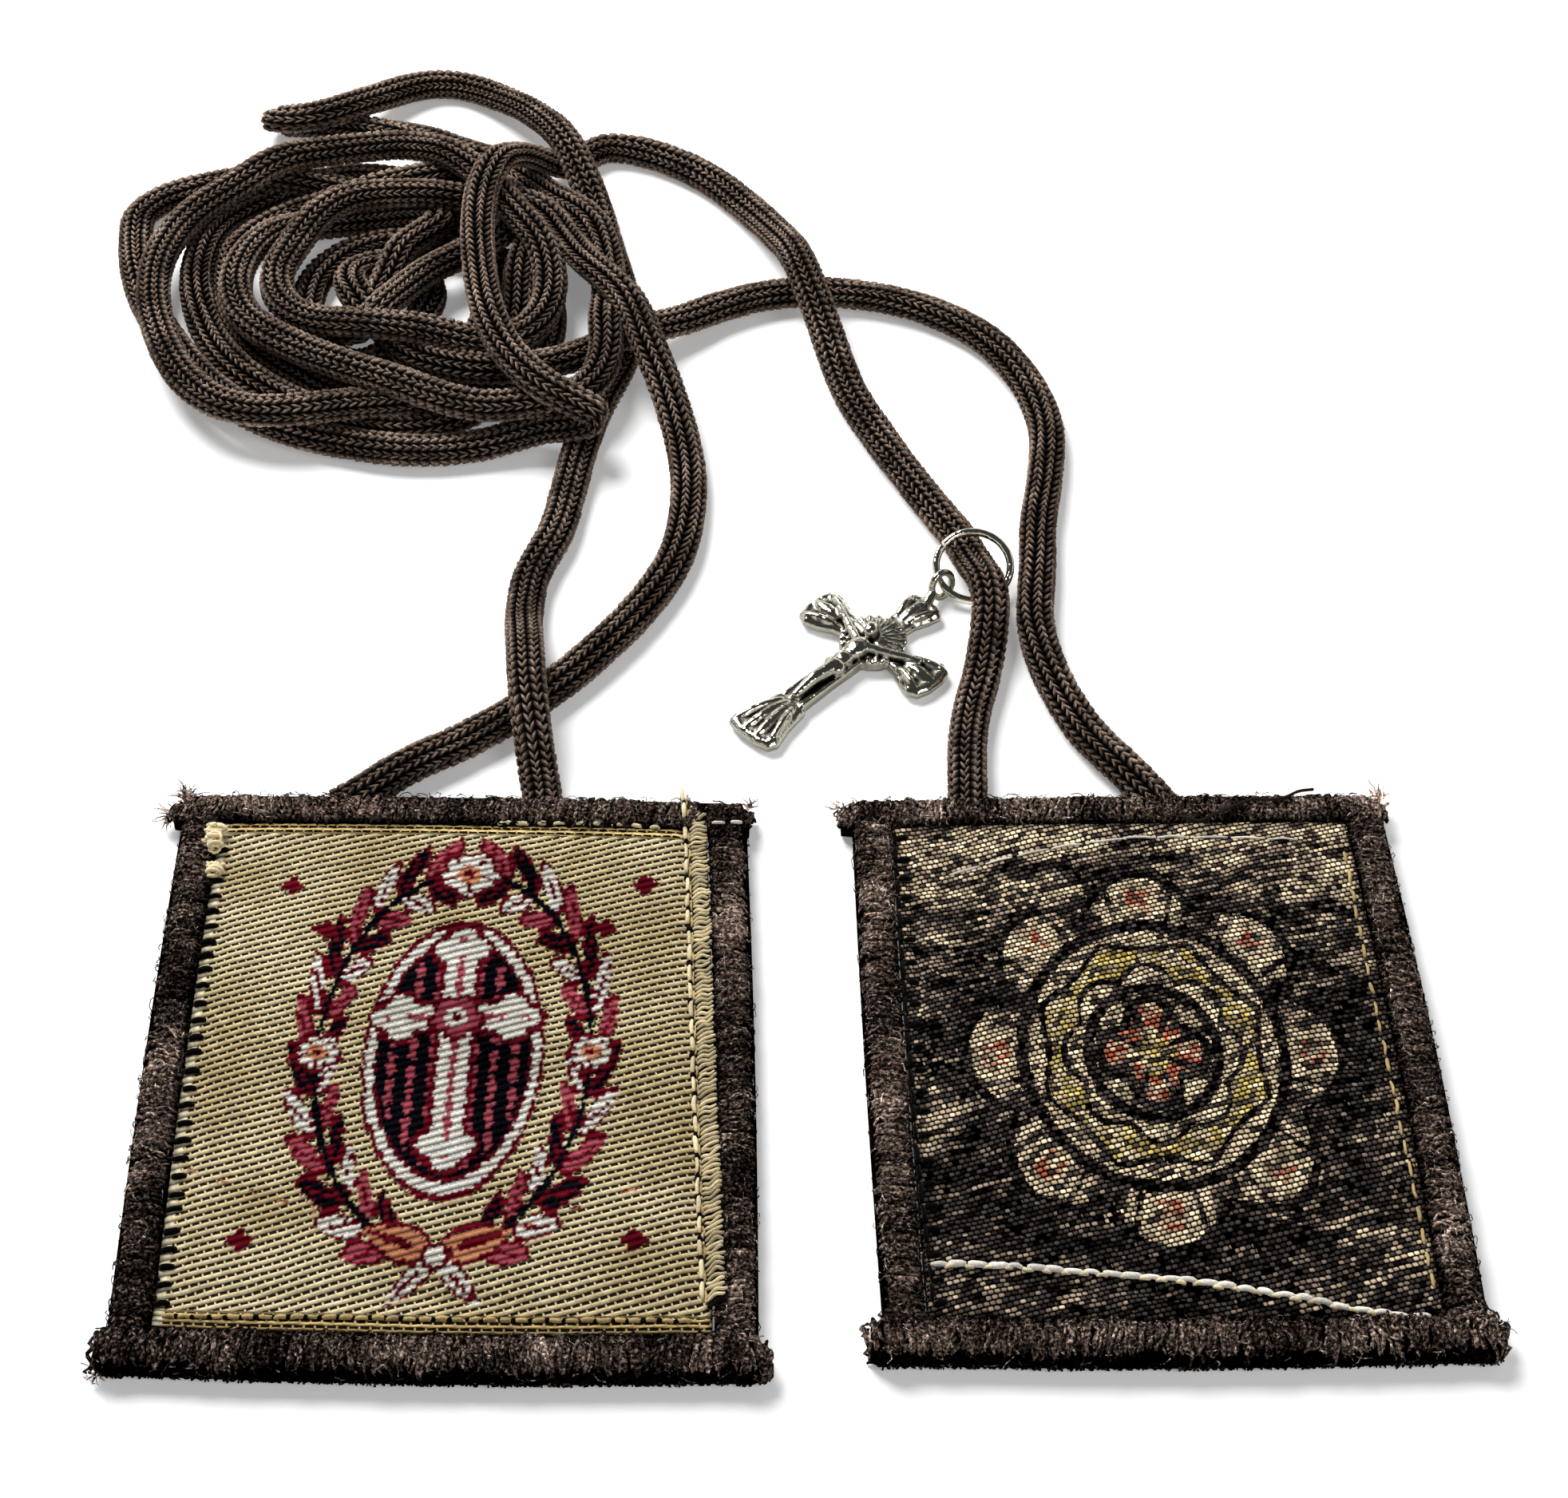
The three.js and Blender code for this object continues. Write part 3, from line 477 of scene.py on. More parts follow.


# The knit: a near-black core, and on it one leaf-shaped leg for each half of each stitch. A leg has
# a point at both ends and two rings of three between, and leans to its neighbour to make a V. Each
# leg carries a painted highlight along its crest and painted shade at its sides and tips.
def knitCord(name, line, seed, material):
    station = np.arange(len(line))
    roll = 0.16 * softNoise(station / 22.0, 0, seed) + 0.08 * softNoise(station / 7.0, 0, seed + 1)
    side, above = cordFrame(line, roll)
    length = np.linalg.norm(np.diff(line, axis=0), axis=1).sum()
    courses = int(length / cordLook["course"])
    wales = cordLook["wales"]
    k, w, h = (a.ravel() for a in np.meshgrid(np.arange(courses), np.arange(wales), [0, 1], indexing="ij"))
    wale = 2 * math.pi / wales
    lean = np.where(h == 0, -1.0, 1.0)
    wander = 0.10 * softNoise(k / 9.0, w * 3.0, seed + 5)
    middleAngle = (w + 0.5 + wander) * wale
    perStation = (len(line) - 1) / courses
    base = (k + 0.30 * softNoise(k / 5.0, w * 2.0, seed + 3)) * perStation
    along = np.array([-0.12, 0.22, 0.80, 1.30])
    away = np.array([0.46, 0.40, 0.22, 0.04])
    wideAt = np.array([0.0, 0.9, 1.0, 0.0])
    thick = 0.88 + 0.24 * scatter(k, w * 2 + h, seed)
    s = base[:, None] + along * perStation
    angle = middleAngle[:, None] + (lean[:, None] * away) * wale * cordLook["slant"] / 0.5
    angleStep = cordLook["legWide"] / 1.55
    ring = np.array([[-1.0, -0.45], [0.0, 1.0], [1.0, -0.45]])
    ringAngle = angle[:, 1:3, None] + ring[:, 0] * angleStep * (wideAt[1:3] * 0.9)[:, None] * thick[:, None, None]
    ringLift = cordLook["legHigh"] * ring[:, 1] * (wideAt[1:3])[:, None] * thick[:, None, None]
    ringStation = np.repeat(s[:, 1:3, None], 3, 2)
    rings = onCord(line, side, above, ringStation, ringAngle, ringLift)
    tips = onCord(line, side, above, s[:, [0, 3]], angle[:, [0, 3]], np.full((len(k), 2), -0.10))
    legs = len(k)
    points = np.concatenate([rings.reshape(legs, 6, 3), tips], 1)
    quads, tris = tubeFaces(2, 3)
    shift = (np.arange(legs) * 8)[:, None, None]
    legQuads, legTris = (quads + shift).reshape(-1, 4), (tris + shift).reshape(-1, 3)
    # the core, twelve sided, with closed ends; its near-black colour is painted shade in the gaps
    a, b = np.meshgrid(station, 2 * math.pi * np.arange(12) / 12, indexing="ij")
    core = onCord(line, side, above, a, b, np.full(a.shape, -0.22)).reshape(-1, 3)
    core = np.concatenate([core, line[:1], line[-1:]])
    tone = 0.5 + 0.5 * softNoise(k / 3.0, w * 1.0, seed + 7) * 0.6 + 0.35 * (scatter(k, w * 2 + h, seed + 9) - 0.5)
    ramp = mix(linear(cordLook["middle"]), linear(cordLook["light"]), np.clip(tone, 0, 1)[:, None, None])
    # painted highlight and shade: the crest points of a leg are lit up to 1.7 times, its sides and tips darkened to a
    # few per cent
    shade = np.array([0.08, 1.40, 0.08, 0.06, 1.70, 0.06, 0.01, 0.05])[None, :, None]
    piece = yarnPiece(name, [
        ((points.reshape(-1, 3), legQuads, legTris), (ramp * shade).reshape(-1, 3)),
        tinted((core, *tubeFaces(len(line), 12)), linear(cordLook["dark"])[None]),
    ], material)
    print(name, "length", round(length), "mm")
    return piece, length


# Spun yarn coloured by the mesh's own yarn colours, with their painted highlight and shade, which
# are stored as cube roots so that only the painted highlight on the crest of a thread stays light.
# Fine fibres run from the low to the high share of that colour, and a higher crush leaves more of
# them dark.
def yarnMaterial(name, look):
    return newMaterial(name, {
        "Roughness": look["rough"], "Sheen Weight": look["sheen"], "Sheen Roughness": 0.5, "Specular IOR Level": 0.0,
    }, [
        ("yarn", "Attribute", {"attribute_name": "yarn"}),
        ("colour", "Gamma", {"Gamma": 3.0, "Color": "yarn.Color"}),
        ("place", "TexCoord", {}),
        ("fibres", "TexNoise", {"Scale": look["fibre"], "Detail": 3.0, "Roughness": 0.65, "Vector": "place.Object"}),
        ("blotch", "TexNoise", {"Scale": 180.0, "Detail": 2.0, "Vector": "place.Object"}),
        ("both", "Math", {"operation": "MULTIPLY_ADD", 0: "blotch.Fac", 1: 0.4, 2: "fibres.Fac"}),
        ("spread", "MapRange", {"From Min": 0.5, "From Max": 0.9, "Value": "both"}),
        ("crushed", "Math", {"operation": "POWER", 0: "spread", 1: look["crush"]}),
        ("level", "MapRange", {"To Min": look["low"], "To Max": look["high"], "Value": "crushed"}),
        ("tint", "VectorMath", {"operation": "SCALE", 0: "colour", "Scale": "level"}),
        ("bump", "Bump", {"Strength": 0.7, "Distance": look["relief"], "Height": "fibres.Fac"}),
    ], {"Base Color": "tint", "Normal": "bump"})


# Polyester tubular knit of spun yarn: each stitch carries a painted highlight, the gaps are painted black as shade.
cordMaterial = yarnMaterial("polyesterYarnKnitted", {
    "rough": 0.62, "sheen": 0.02, "fibre": 5200.0, "crush": 1.6, "low": 0.35, "high": 2.2, "relief": 0.00008,
})
for name, line, seed, nodes in (
    ("cordWithCross", crossLine, 3, ("cord_b_left", "cord_a_left", "cord_loop", "hank")),
    ("cordPlain", plainLine, 11, ("cord_b_right", "cord_a_right", "cord_top", "cord_fold")),
):
    cord, length = knitCord(name, line, seed, cordMaterial)
    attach(cord, "cloth")
    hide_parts(*nodes)
print("cords made")


# Panels

# Outer corners of each panel with its edging in mm, and how far each side bows out.
panels = {
    "a": {
        "farLeft": (-54.2, 30.0), "farRight": (-4.1, 29.0), "nearLeft": (-52.8, -29.1), "nearRight": (-2.6, -29.83),
        "bow": (0.3, 0.5, 0.3, 0.3), "overrun": {"far": (1.2, 0.7), "near": (1.1, 0.9)},
    },
    "b": {
        "farLeft": (5.6, 29.3), "farRight": (52.7, 29.9), "nearLeft": (7.4, -28.3), "nearRight": (54.1, -28.0),
        "bow": (0.3, 0.4, 0.2, 0.5), "overrun": {"far": (1.4, 0.6), "near": (1.5, 1.25)},
    },
}
panelSizes = {
    "edgeWidth": 3.15,
    "edgeHeight": 2.75,
    "backThickness": 1.2,
    "seamGap": 0.3,
    "labelThickness": 0.85,
    "puff": 0.45,
}


# A point of a panel's plan: the four corners mixed by s (left to right) and t (near to far),
# and each side bowed out by half a sine wave.
def planPoint(panel, s, t):
    corner = {k: np.array(panel[k]) for k in ("farLeft", "farRight", "nearLeft", "nearRight")}
    s, t = np.asarray(s, float)[..., None], np.asarray(t, float)[..., None]
    near, far = (mix(corner[row + "Left"], corner[row + "Right"], s) for row in ("near", "far"))
    flat = mix(near, far, t)
    far, near, left, right = panel["bow"]
    x = np.sin(math.pi * t) * (s * right - (1 - s) * left)
    y = np.sin(math.pi * s) * (t * far - (1 - t) * near)
    return flat + np.concatenate([x, y], -1)


def planSize(panel):
    return panel["farRight"][0] - panel["farLeft"][0], panel["farLeft"][1] - panel["nearLeft"][1]


labelInset = panelSizes["edgeWidth"] + panelSizes["seamGap"]


# The label's flat size inside its edging.
def labelSize(panel):
    width, height = planSize(panel)
    return width - 2 * labelInset, height - 2 * labelInset


# How far the cloth stands up: nothing at its edge, a soft crown with slow waves inside.
def crown(s, t):
    rise = np.sqrt(np.clip(np.sin(math.pi * s) * np.sin(math.pi * t), 0, None))
    return panelSizes["puff"] * rise * (1 + 0.2 * np.sin(7 * s + 5 * t))


# A closed slab of cloth: a top sheet on a fine grid, walls down its four sides and one flat
# underside.
def clothSlab(name, panel, spacing, topAt, bottom, material):
    width, height = planSize(panel)
    wide, tall = labelSize(panel)
    columns, rows = int(round(wide / spacing)), int(round(tall / spacing))
    t, s = np.meshgrid(np.linspace(0, 1, rows + 1), np.linspace(0, 1, columns + 1), indexing="ij")
    plan = planPoint(panel, (labelInset + s * wide) / width, (labelInset + t * tall) / height)
    lift, colours, weave = topAt(s, t, plan[..., 0], plan[..., 1])
    top = np.concatenate([plan, lift[..., None]], -1).reshape(-1, 3)
    line = columns + 1
    i, j = np.meshgrid(np.arange(rows), np.arange(columns), indexing="ij")
    a = (i * line + j).ravel()
    quads = np.stack([a, a + 1, a + line + 1, a + line], -1)
    rim = np.concatenate([
        np.arange(columns), np.arange(rows) * line + columns,
        rows * line + np.arange(columns, 0, -1), np.arange(rows, 0, -1) * line,
    ])
    under = top[rim].copy()
    under[:, 2] = bottom
    base = len(top)
    k = np.arange(len(rim))
    n = (k + 1) % len(rim)
    walls = np.stack([rim[n], rim[k], base + k, base + n], -1)
    points = np.concatenate([top, under])
    piece = meshObject(name, points, [quads, walls, (base + k[::-1])[None, :]], material)
    if colours is not None:
        colours, weave = colours.reshape(-1, 3), weave.reshape(-1, 3)
        # painted shade: the walls' lower edge takes half the top's colour, so the cloth's sides darken downwards
        pointColour(piece, "yarn", np.concatenate([colours, colours[rim] * 0.5]))
        setWeave(piece, np.concatenate([weave, weave[rim]]))
    return piece


# Woven labels

# Where each place lies in a weave: how many floats along its rib and how many ribs across, with
# a soft wavering. Whole numbers part one float or rib from the next.
def weavePlace(x, y, look, seed):
    waver = look["waver"]
    wx = x + waver * softNoise(x / 6.0, y / 6.0, seed) + 0.3 * waver * softNoise(x / 1.7, y / 1.7, seed + 1)
    wy = y + waver * softNoise(x / 7.0, y / 7.0, seed + 2) + 0.3 * waver * softNoise(x / 1.9, y / 1.9, seed + 3)
    angle = math.radians(look["ribAngle"])
    c, n = math.cos(angle), math.sin(angle)
    return (wx * c + wy * n) / look["float"], (-wx * n + wy * c) / look["rib"]


# From those, a thread's rounded height from 0 to 1 and the middle of the half-float cell that
# takes one colour of the woven pattern.
def weaveCells(x, y, a, b, look):
    row = np.floor(b)
    shifted = a + row * look["step"]
    q, p = b - row - 0.5, shifted - np.floor(shifted) - 0.5
    height = np.clip(1 - (2 * q) ** 2 * 1.02, 0, 1) ** 0.6 * (1 - look["beading"] * np.abs(2 * p) ** 3)
    da = ((np.floor(2 * shifted) + 0.5) / 2 - shifted) * look["float"]
    db = ((np.floor(2 * b) + 0.5) / 2 - b) * look["rib"]
    angle = math.radians(look["ribAngle"])
    c, n = math.cos(angle), math.sin(angle)
    return height, x + da * c - db * n, y + da * n + db * c


goldLook = {
    "ribAngle": 18.0,
    "rib": 0.70,  # mm from rib to rib
    "float": 0.74,  # mm from dash to dash along a rib
    "step": 0.42,  # share of a float by which each row is set on
    "beading": 0.35,
    "waver": 0.16,
    "relief": 0.15,
    "spacing": 0.178,
    "rough": 0.5,
    "ground": "#ead8ad",
    "cream": "#efebe2",
    "maroon": "#6c0f1e",
    "navy": "#12121a",
    "rose": "#b0505c",
    "peach": "#d08c68",
    "groundDeep": "#c7b283",  # the same threads where they lie in shade
    "creamDeep": "#cfcabd",
    "maroonDeep": "#4c0a15",
    "navyDeep": "#08080c",
    "roseDeep": "#8a3a45",
    "peachDeep": "#b0714f",
    "band": "#d0b47c",  # turned edges at the top and the bottom
    "strip": "#e2d6b4",  # and at the left
}

darkLook = {
    "ribAngle": 16.0,
    "rib": 0.46,
    "float": 0.52,
    "step": 0.37,
    "beading": 0.8,
    "waver": 0.34,
    "spacing": 0.25,
    "rough": 0.55,
    "black": "#0b0908",
    "taupe": "#9a8777",
    "beige": "#e3cda8",
    "ochre": "#c0a95c",
    "brick": "#b05c42",
}


def petalShape(x, y, cx, cy, angle, long, wide):
    c, n = np.cos(angle), np.sin(angle)
    u = ((x - cx) * c + (y - cy) * n) / long
    v = (-(x - cx) * n + (y - cy) * c) / wide
    return np.where(u < 0, 9.0, np.abs(v) / np.clip(np.sin(math.pi * np.clip(u, 0, 1) ** 0.8), 0.02, None))


# A plain devotional design for the gold label: a cream cross on an oval of navy striped with
# rose, in an oval wreath of leaves and blooms with a tied bow, and six small quatrefoils.
def wreathColours(x, y):
    ground, cream, maroon, navy, rose, peach = range(6)
    pick = np.full(x.shape, ground)
    u, v = x + 28.0, y - 0.6

    def put(mask, colour):
        pick[mask] = colour

    def polar(cx, cy):
        return np.hypot(u - cx, v - cy), np.arctan2(v - cy, u - cx)

    # the wreath: leaves slant off an oval stem, each with a dark rim and a vein
    radius, turn = np.hypot(u / 11.4, v / 19.6), np.arctan2(u / 11.4, -v / 19.6)
    travel = np.abs(turn) / math.pi * 15.0
    off = (radius - 1) * 15.0
    for outward in (1, -1):
        e = off * outward
        slanted = travel - 0.34 * e
        leaf = np.floor(slanted)
        local = np.abs(slanted - leaf - 0.5)
        long = 3.5 if outward > 0 else 2.9
        body = 0.50 * np.sin(math.pi * np.clip(e / long, 0, 1)) ** 0.75
        grows = (e > 0) & (e < long) & (leaf >= 1) & (leaf < 14)
        inner, kind = grows & (local < body - 0.15), np.mod(leaf + (outward > 0), 3)
        put(grows & (local < body), maroon)
        put(inner, cream)
        put(inner & (kind == 1), navy)
        put(inner & (kind == 2), rose)
        put(grows & (local < 0.07) & (e < long * 0.75), maroon)
    put((np.abs(off) < 0.32) & (travel > 1) & (travel < 14.6), navy)
    # the oval, edged cream and maroon
    plaque = np.hypot(u / 7.6, (v + 0.4) / 14.6)
    for reach, colour in ((1.0, maroon), (0.95, cream), (0.87, maroon), (0.84, navy)):
        put(plaque < reach, colour)
    stripe = np.abs(np.mod(u + 0.85, 1.7) - 0.85)
    broken = np.mod(v * 0.35 + np.floor((u + 0.85) / 1.7) * 0.37, 1.0) < 0.86
    put((plaque < 0.80) & (stripe < 0.30) & broken, rose)
    # the cross with three-lobed ends
    upright = np.minimum(1.25 - np.abs(u), np.minimum(v + 9.8, 11.2 - v))
    bar = np.minimum(1.25 - np.abs(v - 3.6), 5.0 - np.abs(u))
    shape = np.maximum(upright, bar)
    for cx, cy in ((0.0, 11.2), (0.0, -9.8), (-5.0, 3.6), (5.0, 3.6)):
        dx, dy = (0, np.sign(cy - 3.6)) if cx == 0 else (np.sign(cx), 0)
        for along, aside in ((0.9, 0.0), (-0.3, 1.15), (-0.3, -1.15)):
            away = np.hypot(u - cx - dx * along - dy * aside, v - cy - dy * along - dx * aside)
            shape = np.maximum(shape, 1.15 - away)
    put(shape > -0.55, maroon)
    put(shape > 0, cream)
    put((shape > 0.85) & ((np.abs(u) < 0.3) | (np.abs(v - 3.6) < 0.3)), rose)
    far, spin = polar(0, 3.6)
    bloom = 2.5 * (0.78 + 0.22 * np.abs(np.cos(2.5 * spin + 0.78)))
    for reach, colour in ((bloom, maroon), (bloom - 0.45, rose), (0.95, cream), (0.45, maroon)):
        put(far < reach, colour)
    # blooms on the wreath and the bow at its foot
    for cx, cy, size in ((0, 19.6, 3.0), (-11.4, 0.0, 2.3), (11.4, 0.0, 2.3)):
        far, spin = polar(cx, cy)
        bloom = size * (0.78 + 0.22 * np.abs(np.cos(2.5 * spin + 0.78)))
        put(far < bloom, maroon)
        put((far < bloom - 0.5) & (np.abs(np.sin(2.5 * spin + 0.78)) >= 0.22), cream)
        put(far < size * 0.36, peach)
        put(far < size * 0.15, maroon)
    bow = ((22, 6.6, 2.0, peach), (158, 6.6, 2.0, peach), (-52, 6.0, 1.0, cream), (-128, 6.0, 1.0, cream))
    knot = np.hypot(u, v + 20.0)
    for angle, long, wide, colour in bow:
        loop = petalShape(u, v, 0.0, -20.0, math.radians(angle), long, wide)
        put(loop < 1.0, maroon)
        put(loop < 0.70, colour)
        put((loop < 0.24) & (knot > 2.0), maroon)
    put(knot < 1.35, maroon)
    put(knot < 0.85, cream)
    # quatrefoils in the field
    for cx, cy in ((-15.4, 18.4), (15.4, 18.4), (-15.6, -18.6), (15.6, -18.6), (-12.0, 13.4), (12.0, 13.4)):
        far, spin = polar(cx, cy)
        put(far < 1.15 * (0.60 + 0.40 * np.abs(np.cos(2 * spin))), maroon)
    return pick


labelTop = panelSizes["backThickness"] + panelSizes["seamGap"] + panelSizes["labelThickness"]


def goldTop(s, t, x, y):
    look = goldLook
    a, b = weavePlace(x, y, look, 21)
    height, mx, my = weaveCells(x, y, a, b, look)
    pick = wreathColours(mx, my)
    names = ("ground", "cream", "maroon", "navy", "rose", "peach")
    deep, table = (np.array([linear(look[k + depth]) for k in names]) for depth in ("Deep", ""))
    # painted shade: each thread is mixed by soft noise between its colour in light and its colour in shade
    shade = 0.55 + 0.6 * softNoise(mx / 6.0, my / 5.0, 31) + 0.3 * softNoise(mx / 0.9, my / 0.5, 32)
    shade = np.clip(shade, 0, 1)[..., None]
    thread = mix(deep[pick], table[pick], shade)
    # how strongly the slots between the ribs take their painted black shade, for each colour
    slots = np.array([1.0, 0.6, 0.5, 0.8, 0.5, 0.5])[pick]
    # turned edges of the label: beaded bands at the top and the bottom, a plain strip at the left
    wide, tall = labelSize(panels["a"])
    fromTop, fromBottom, fromLeft, fromRight = (1 - t) * tall, t * tall, s * wide, (1 - s) * wide
    for band, reach in ((fromTop, 1.1), (fromBottom, 1.6)):
        inside = band < reach
        a, b = np.where(inside, x / 0.86, a), np.where(inside, band / 0.52 + 40, b)
        thread = np.where(inside[..., None], linear(look["band"]) * (0.75 + 0.5 * shade), thread)
        slots = np.where(inside, 1.15, slots)
    strip = fromLeft < 0.8
    thread = np.where(strip[..., None], linear(look["strip"]), thread)
    slots = np.where(strip, 0.15, slots)
    # shadow where the label goes under its edging, and along the sewing line at the right
    edge = np.minimum(np.minimum(fromTop, fromBottom), np.minimum(fromLeft, fromRight))
    thread = thread * (0.35 + 0.65 * smooth(0.0, 0.7, edge))[..., None]
    lift = labelTop + crown(s, t) - look["relief"] + look["relief"] * height + np.where(pick > 0, 0.06, 0.0)
    return lift + pucker("a", x, y), thread, np.stack([a, b, slots], -1)


# A generic woven medallion for the dark label: an upright oval of eight petals with a four-fold
# middle in beige, ochre and brick, on a near-black ground flecked with beige and taupe.
def medallionTone(x, y):
    u, v = (x - 30.2) / 0.80, (y - 0.6)
    far, turn = np.hypot(u, v), np.arctan2(v, u)
    lobe, notch = np.abs(np.cos(4 * turn)), np.abs(np.sin(4 * turn))
    rim = 20.0 * (0.82 + 0.18 * lobe)
    tone = 0.47 + 0.24 * softNoise(x / 6.0, y / 2.6, 41) + 0.20 * softNoise(x / 2.2, y / 1.0, 42)
    tone += 0.16 * smooth(4, 22, y) - 0.06 * smooth(-4, -20, y)
    tone -= 0.17 * smooth(27, 20, far)
    inside = smooth(0.5, -0.5, far - rim)
    petal = 0.80 - 0.50 * smooth(0.82, 0.99, notch) - 0.14 * softNoise(x / 1.8, y / 2.6, 43)
    petal -= 0.5 * smooth(0.62, 0.70, lobe) * smooth(0.80, 0.72, lobe) * (far > 14)
    band = (far > 7.3) & (far < 13.0)
    petal = np.where((far > 13.0) & (far < 14.2) | (far > 6.2) & (far < 7.3), 0.04, petal)
    petal = np.where(np.abs(far - rim) < 0.8, 0.0, petal)
    diamond = lobe * 0.5 + np.abs(far - 10.1) / 2.9
    petal = np.where(band, np.where(np.abs(diamond - 0.78) < 0.10, 0.12, 0.78), petal)
    tone = mix(tone, petal, inside)
    heart = 5.6 * (0.66 + 0.34 * np.abs(np.cos(2 * turn)))
    tone = np.where(np.abs(far - heart) < 0.5, 0.05, tone)
    kind = np.zeros(x.shape, int)
    kind[band & (diamond < 0.68)] = 1
    kind[(far > 15.0) & (far < rim - 2.2) & (notch < 0.30)] = 2
    kind[far < heart] = 2
    kind[far < heart * 0.45] = 1
    return tone, kind


def darkTop(s, t, x, y):
    look = darkLook
    a, b = weavePlace(x, y, look, 51)
    mx, my = weaveCells(x, y, a, b, look)[1:]
    tone, kind = medallionTone(x, y)
    paper = np.array([linear(look["beige"]), linear(look["ochre"]), linear(look["brick"])])
    shade = (0.75 + 0.4 * softNoise(mx / 1.1, my / 0.6, 61))[..., None]
    kind = np.where(scatter(np.floor(mx / 0.9), np.floor(my / 0.46), 62) < 0.62, kind, 0)
    share = smooth(0.35, 0.75, tone + 0.25 * softNoise(mx / 1.4, my / 0.8, 63))[..., None]
    thread = mix(linear(look["taupe"]), paper[kind], share) * shade
    # painted shadow where the label goes under its edging
    wide, tall = labelSize(panels["b"])
    edge = np.minimum(np.minimum(t, 1 - t) * tall, np.minimum(s, 1 - s) * wide)
    thread = thread * (0.35 + 0.65 * smooth(0.0, 0.8, edge))[..., None]
    lift = labelTop + crown(s, t) + 0.05 * softNoise(x / 1.1, y / 0.6, 64)
    return lift + pucker("b", x, y), thread, np.stack([a, b, tone * 0.86 + 0.04], -1)


# Shallow troughs along the sewing lines, uneven along their length.
def trough(x, y, start, end, wide, deep, seed):
    a, b = np.array(start, float), np.array(end, float)
    run = b - a
    long = np.linalg.norm(run)
    run /= long
    along = (x - a[0]) * run[0] + (y - a[1]) * run[1]
    away = -(x - a[0]) * run[1] + (y - a[1]) * run[0]
    ends = smooth(-1, 2, along) * smooth(long + 1, long - 2, along)
    return -deep * np.exp(-(away / wide) ** 2) * ends * (0.75 + 0.35 * softNoise(along / 2.2, 0, seed))


# Each label's sewing lines (start, end, width, depth, seed), then its slow waves (height, length
# across, length along, seed).
puckers = {
    "a": ([
        ((-9.2, 27), (-7.1, -26), 0.7, 0.26, 71),
        ((-49.4, 26), (-48.4, -25), 0.6, 0.14, 72),
        ((-49, -22.9), (-7, -23.9), 0.7, 0.18, 73),
    ], (0.12, 9.0, 7.0, 74)),
    "b": ([
        ((10.9, -20.2), (49.3, -25.4), 0.8, 0.30, 75),
        ((10.4, 24), (11.6, -23), 0.6, 0.22, 76),
        ((14.0, 20.4), (29.0, 24.6), 0.5, 0.14, 77),
    ], (0.14, 8.0, 6.0, 78)),
}


def pucker(side, x, y):
    seams, (high, across, along, seed) = puckers[side]
    return sum(trough(x, y, *seam) for seam in seams) + high * softNoise(x / across, y / along, seed)
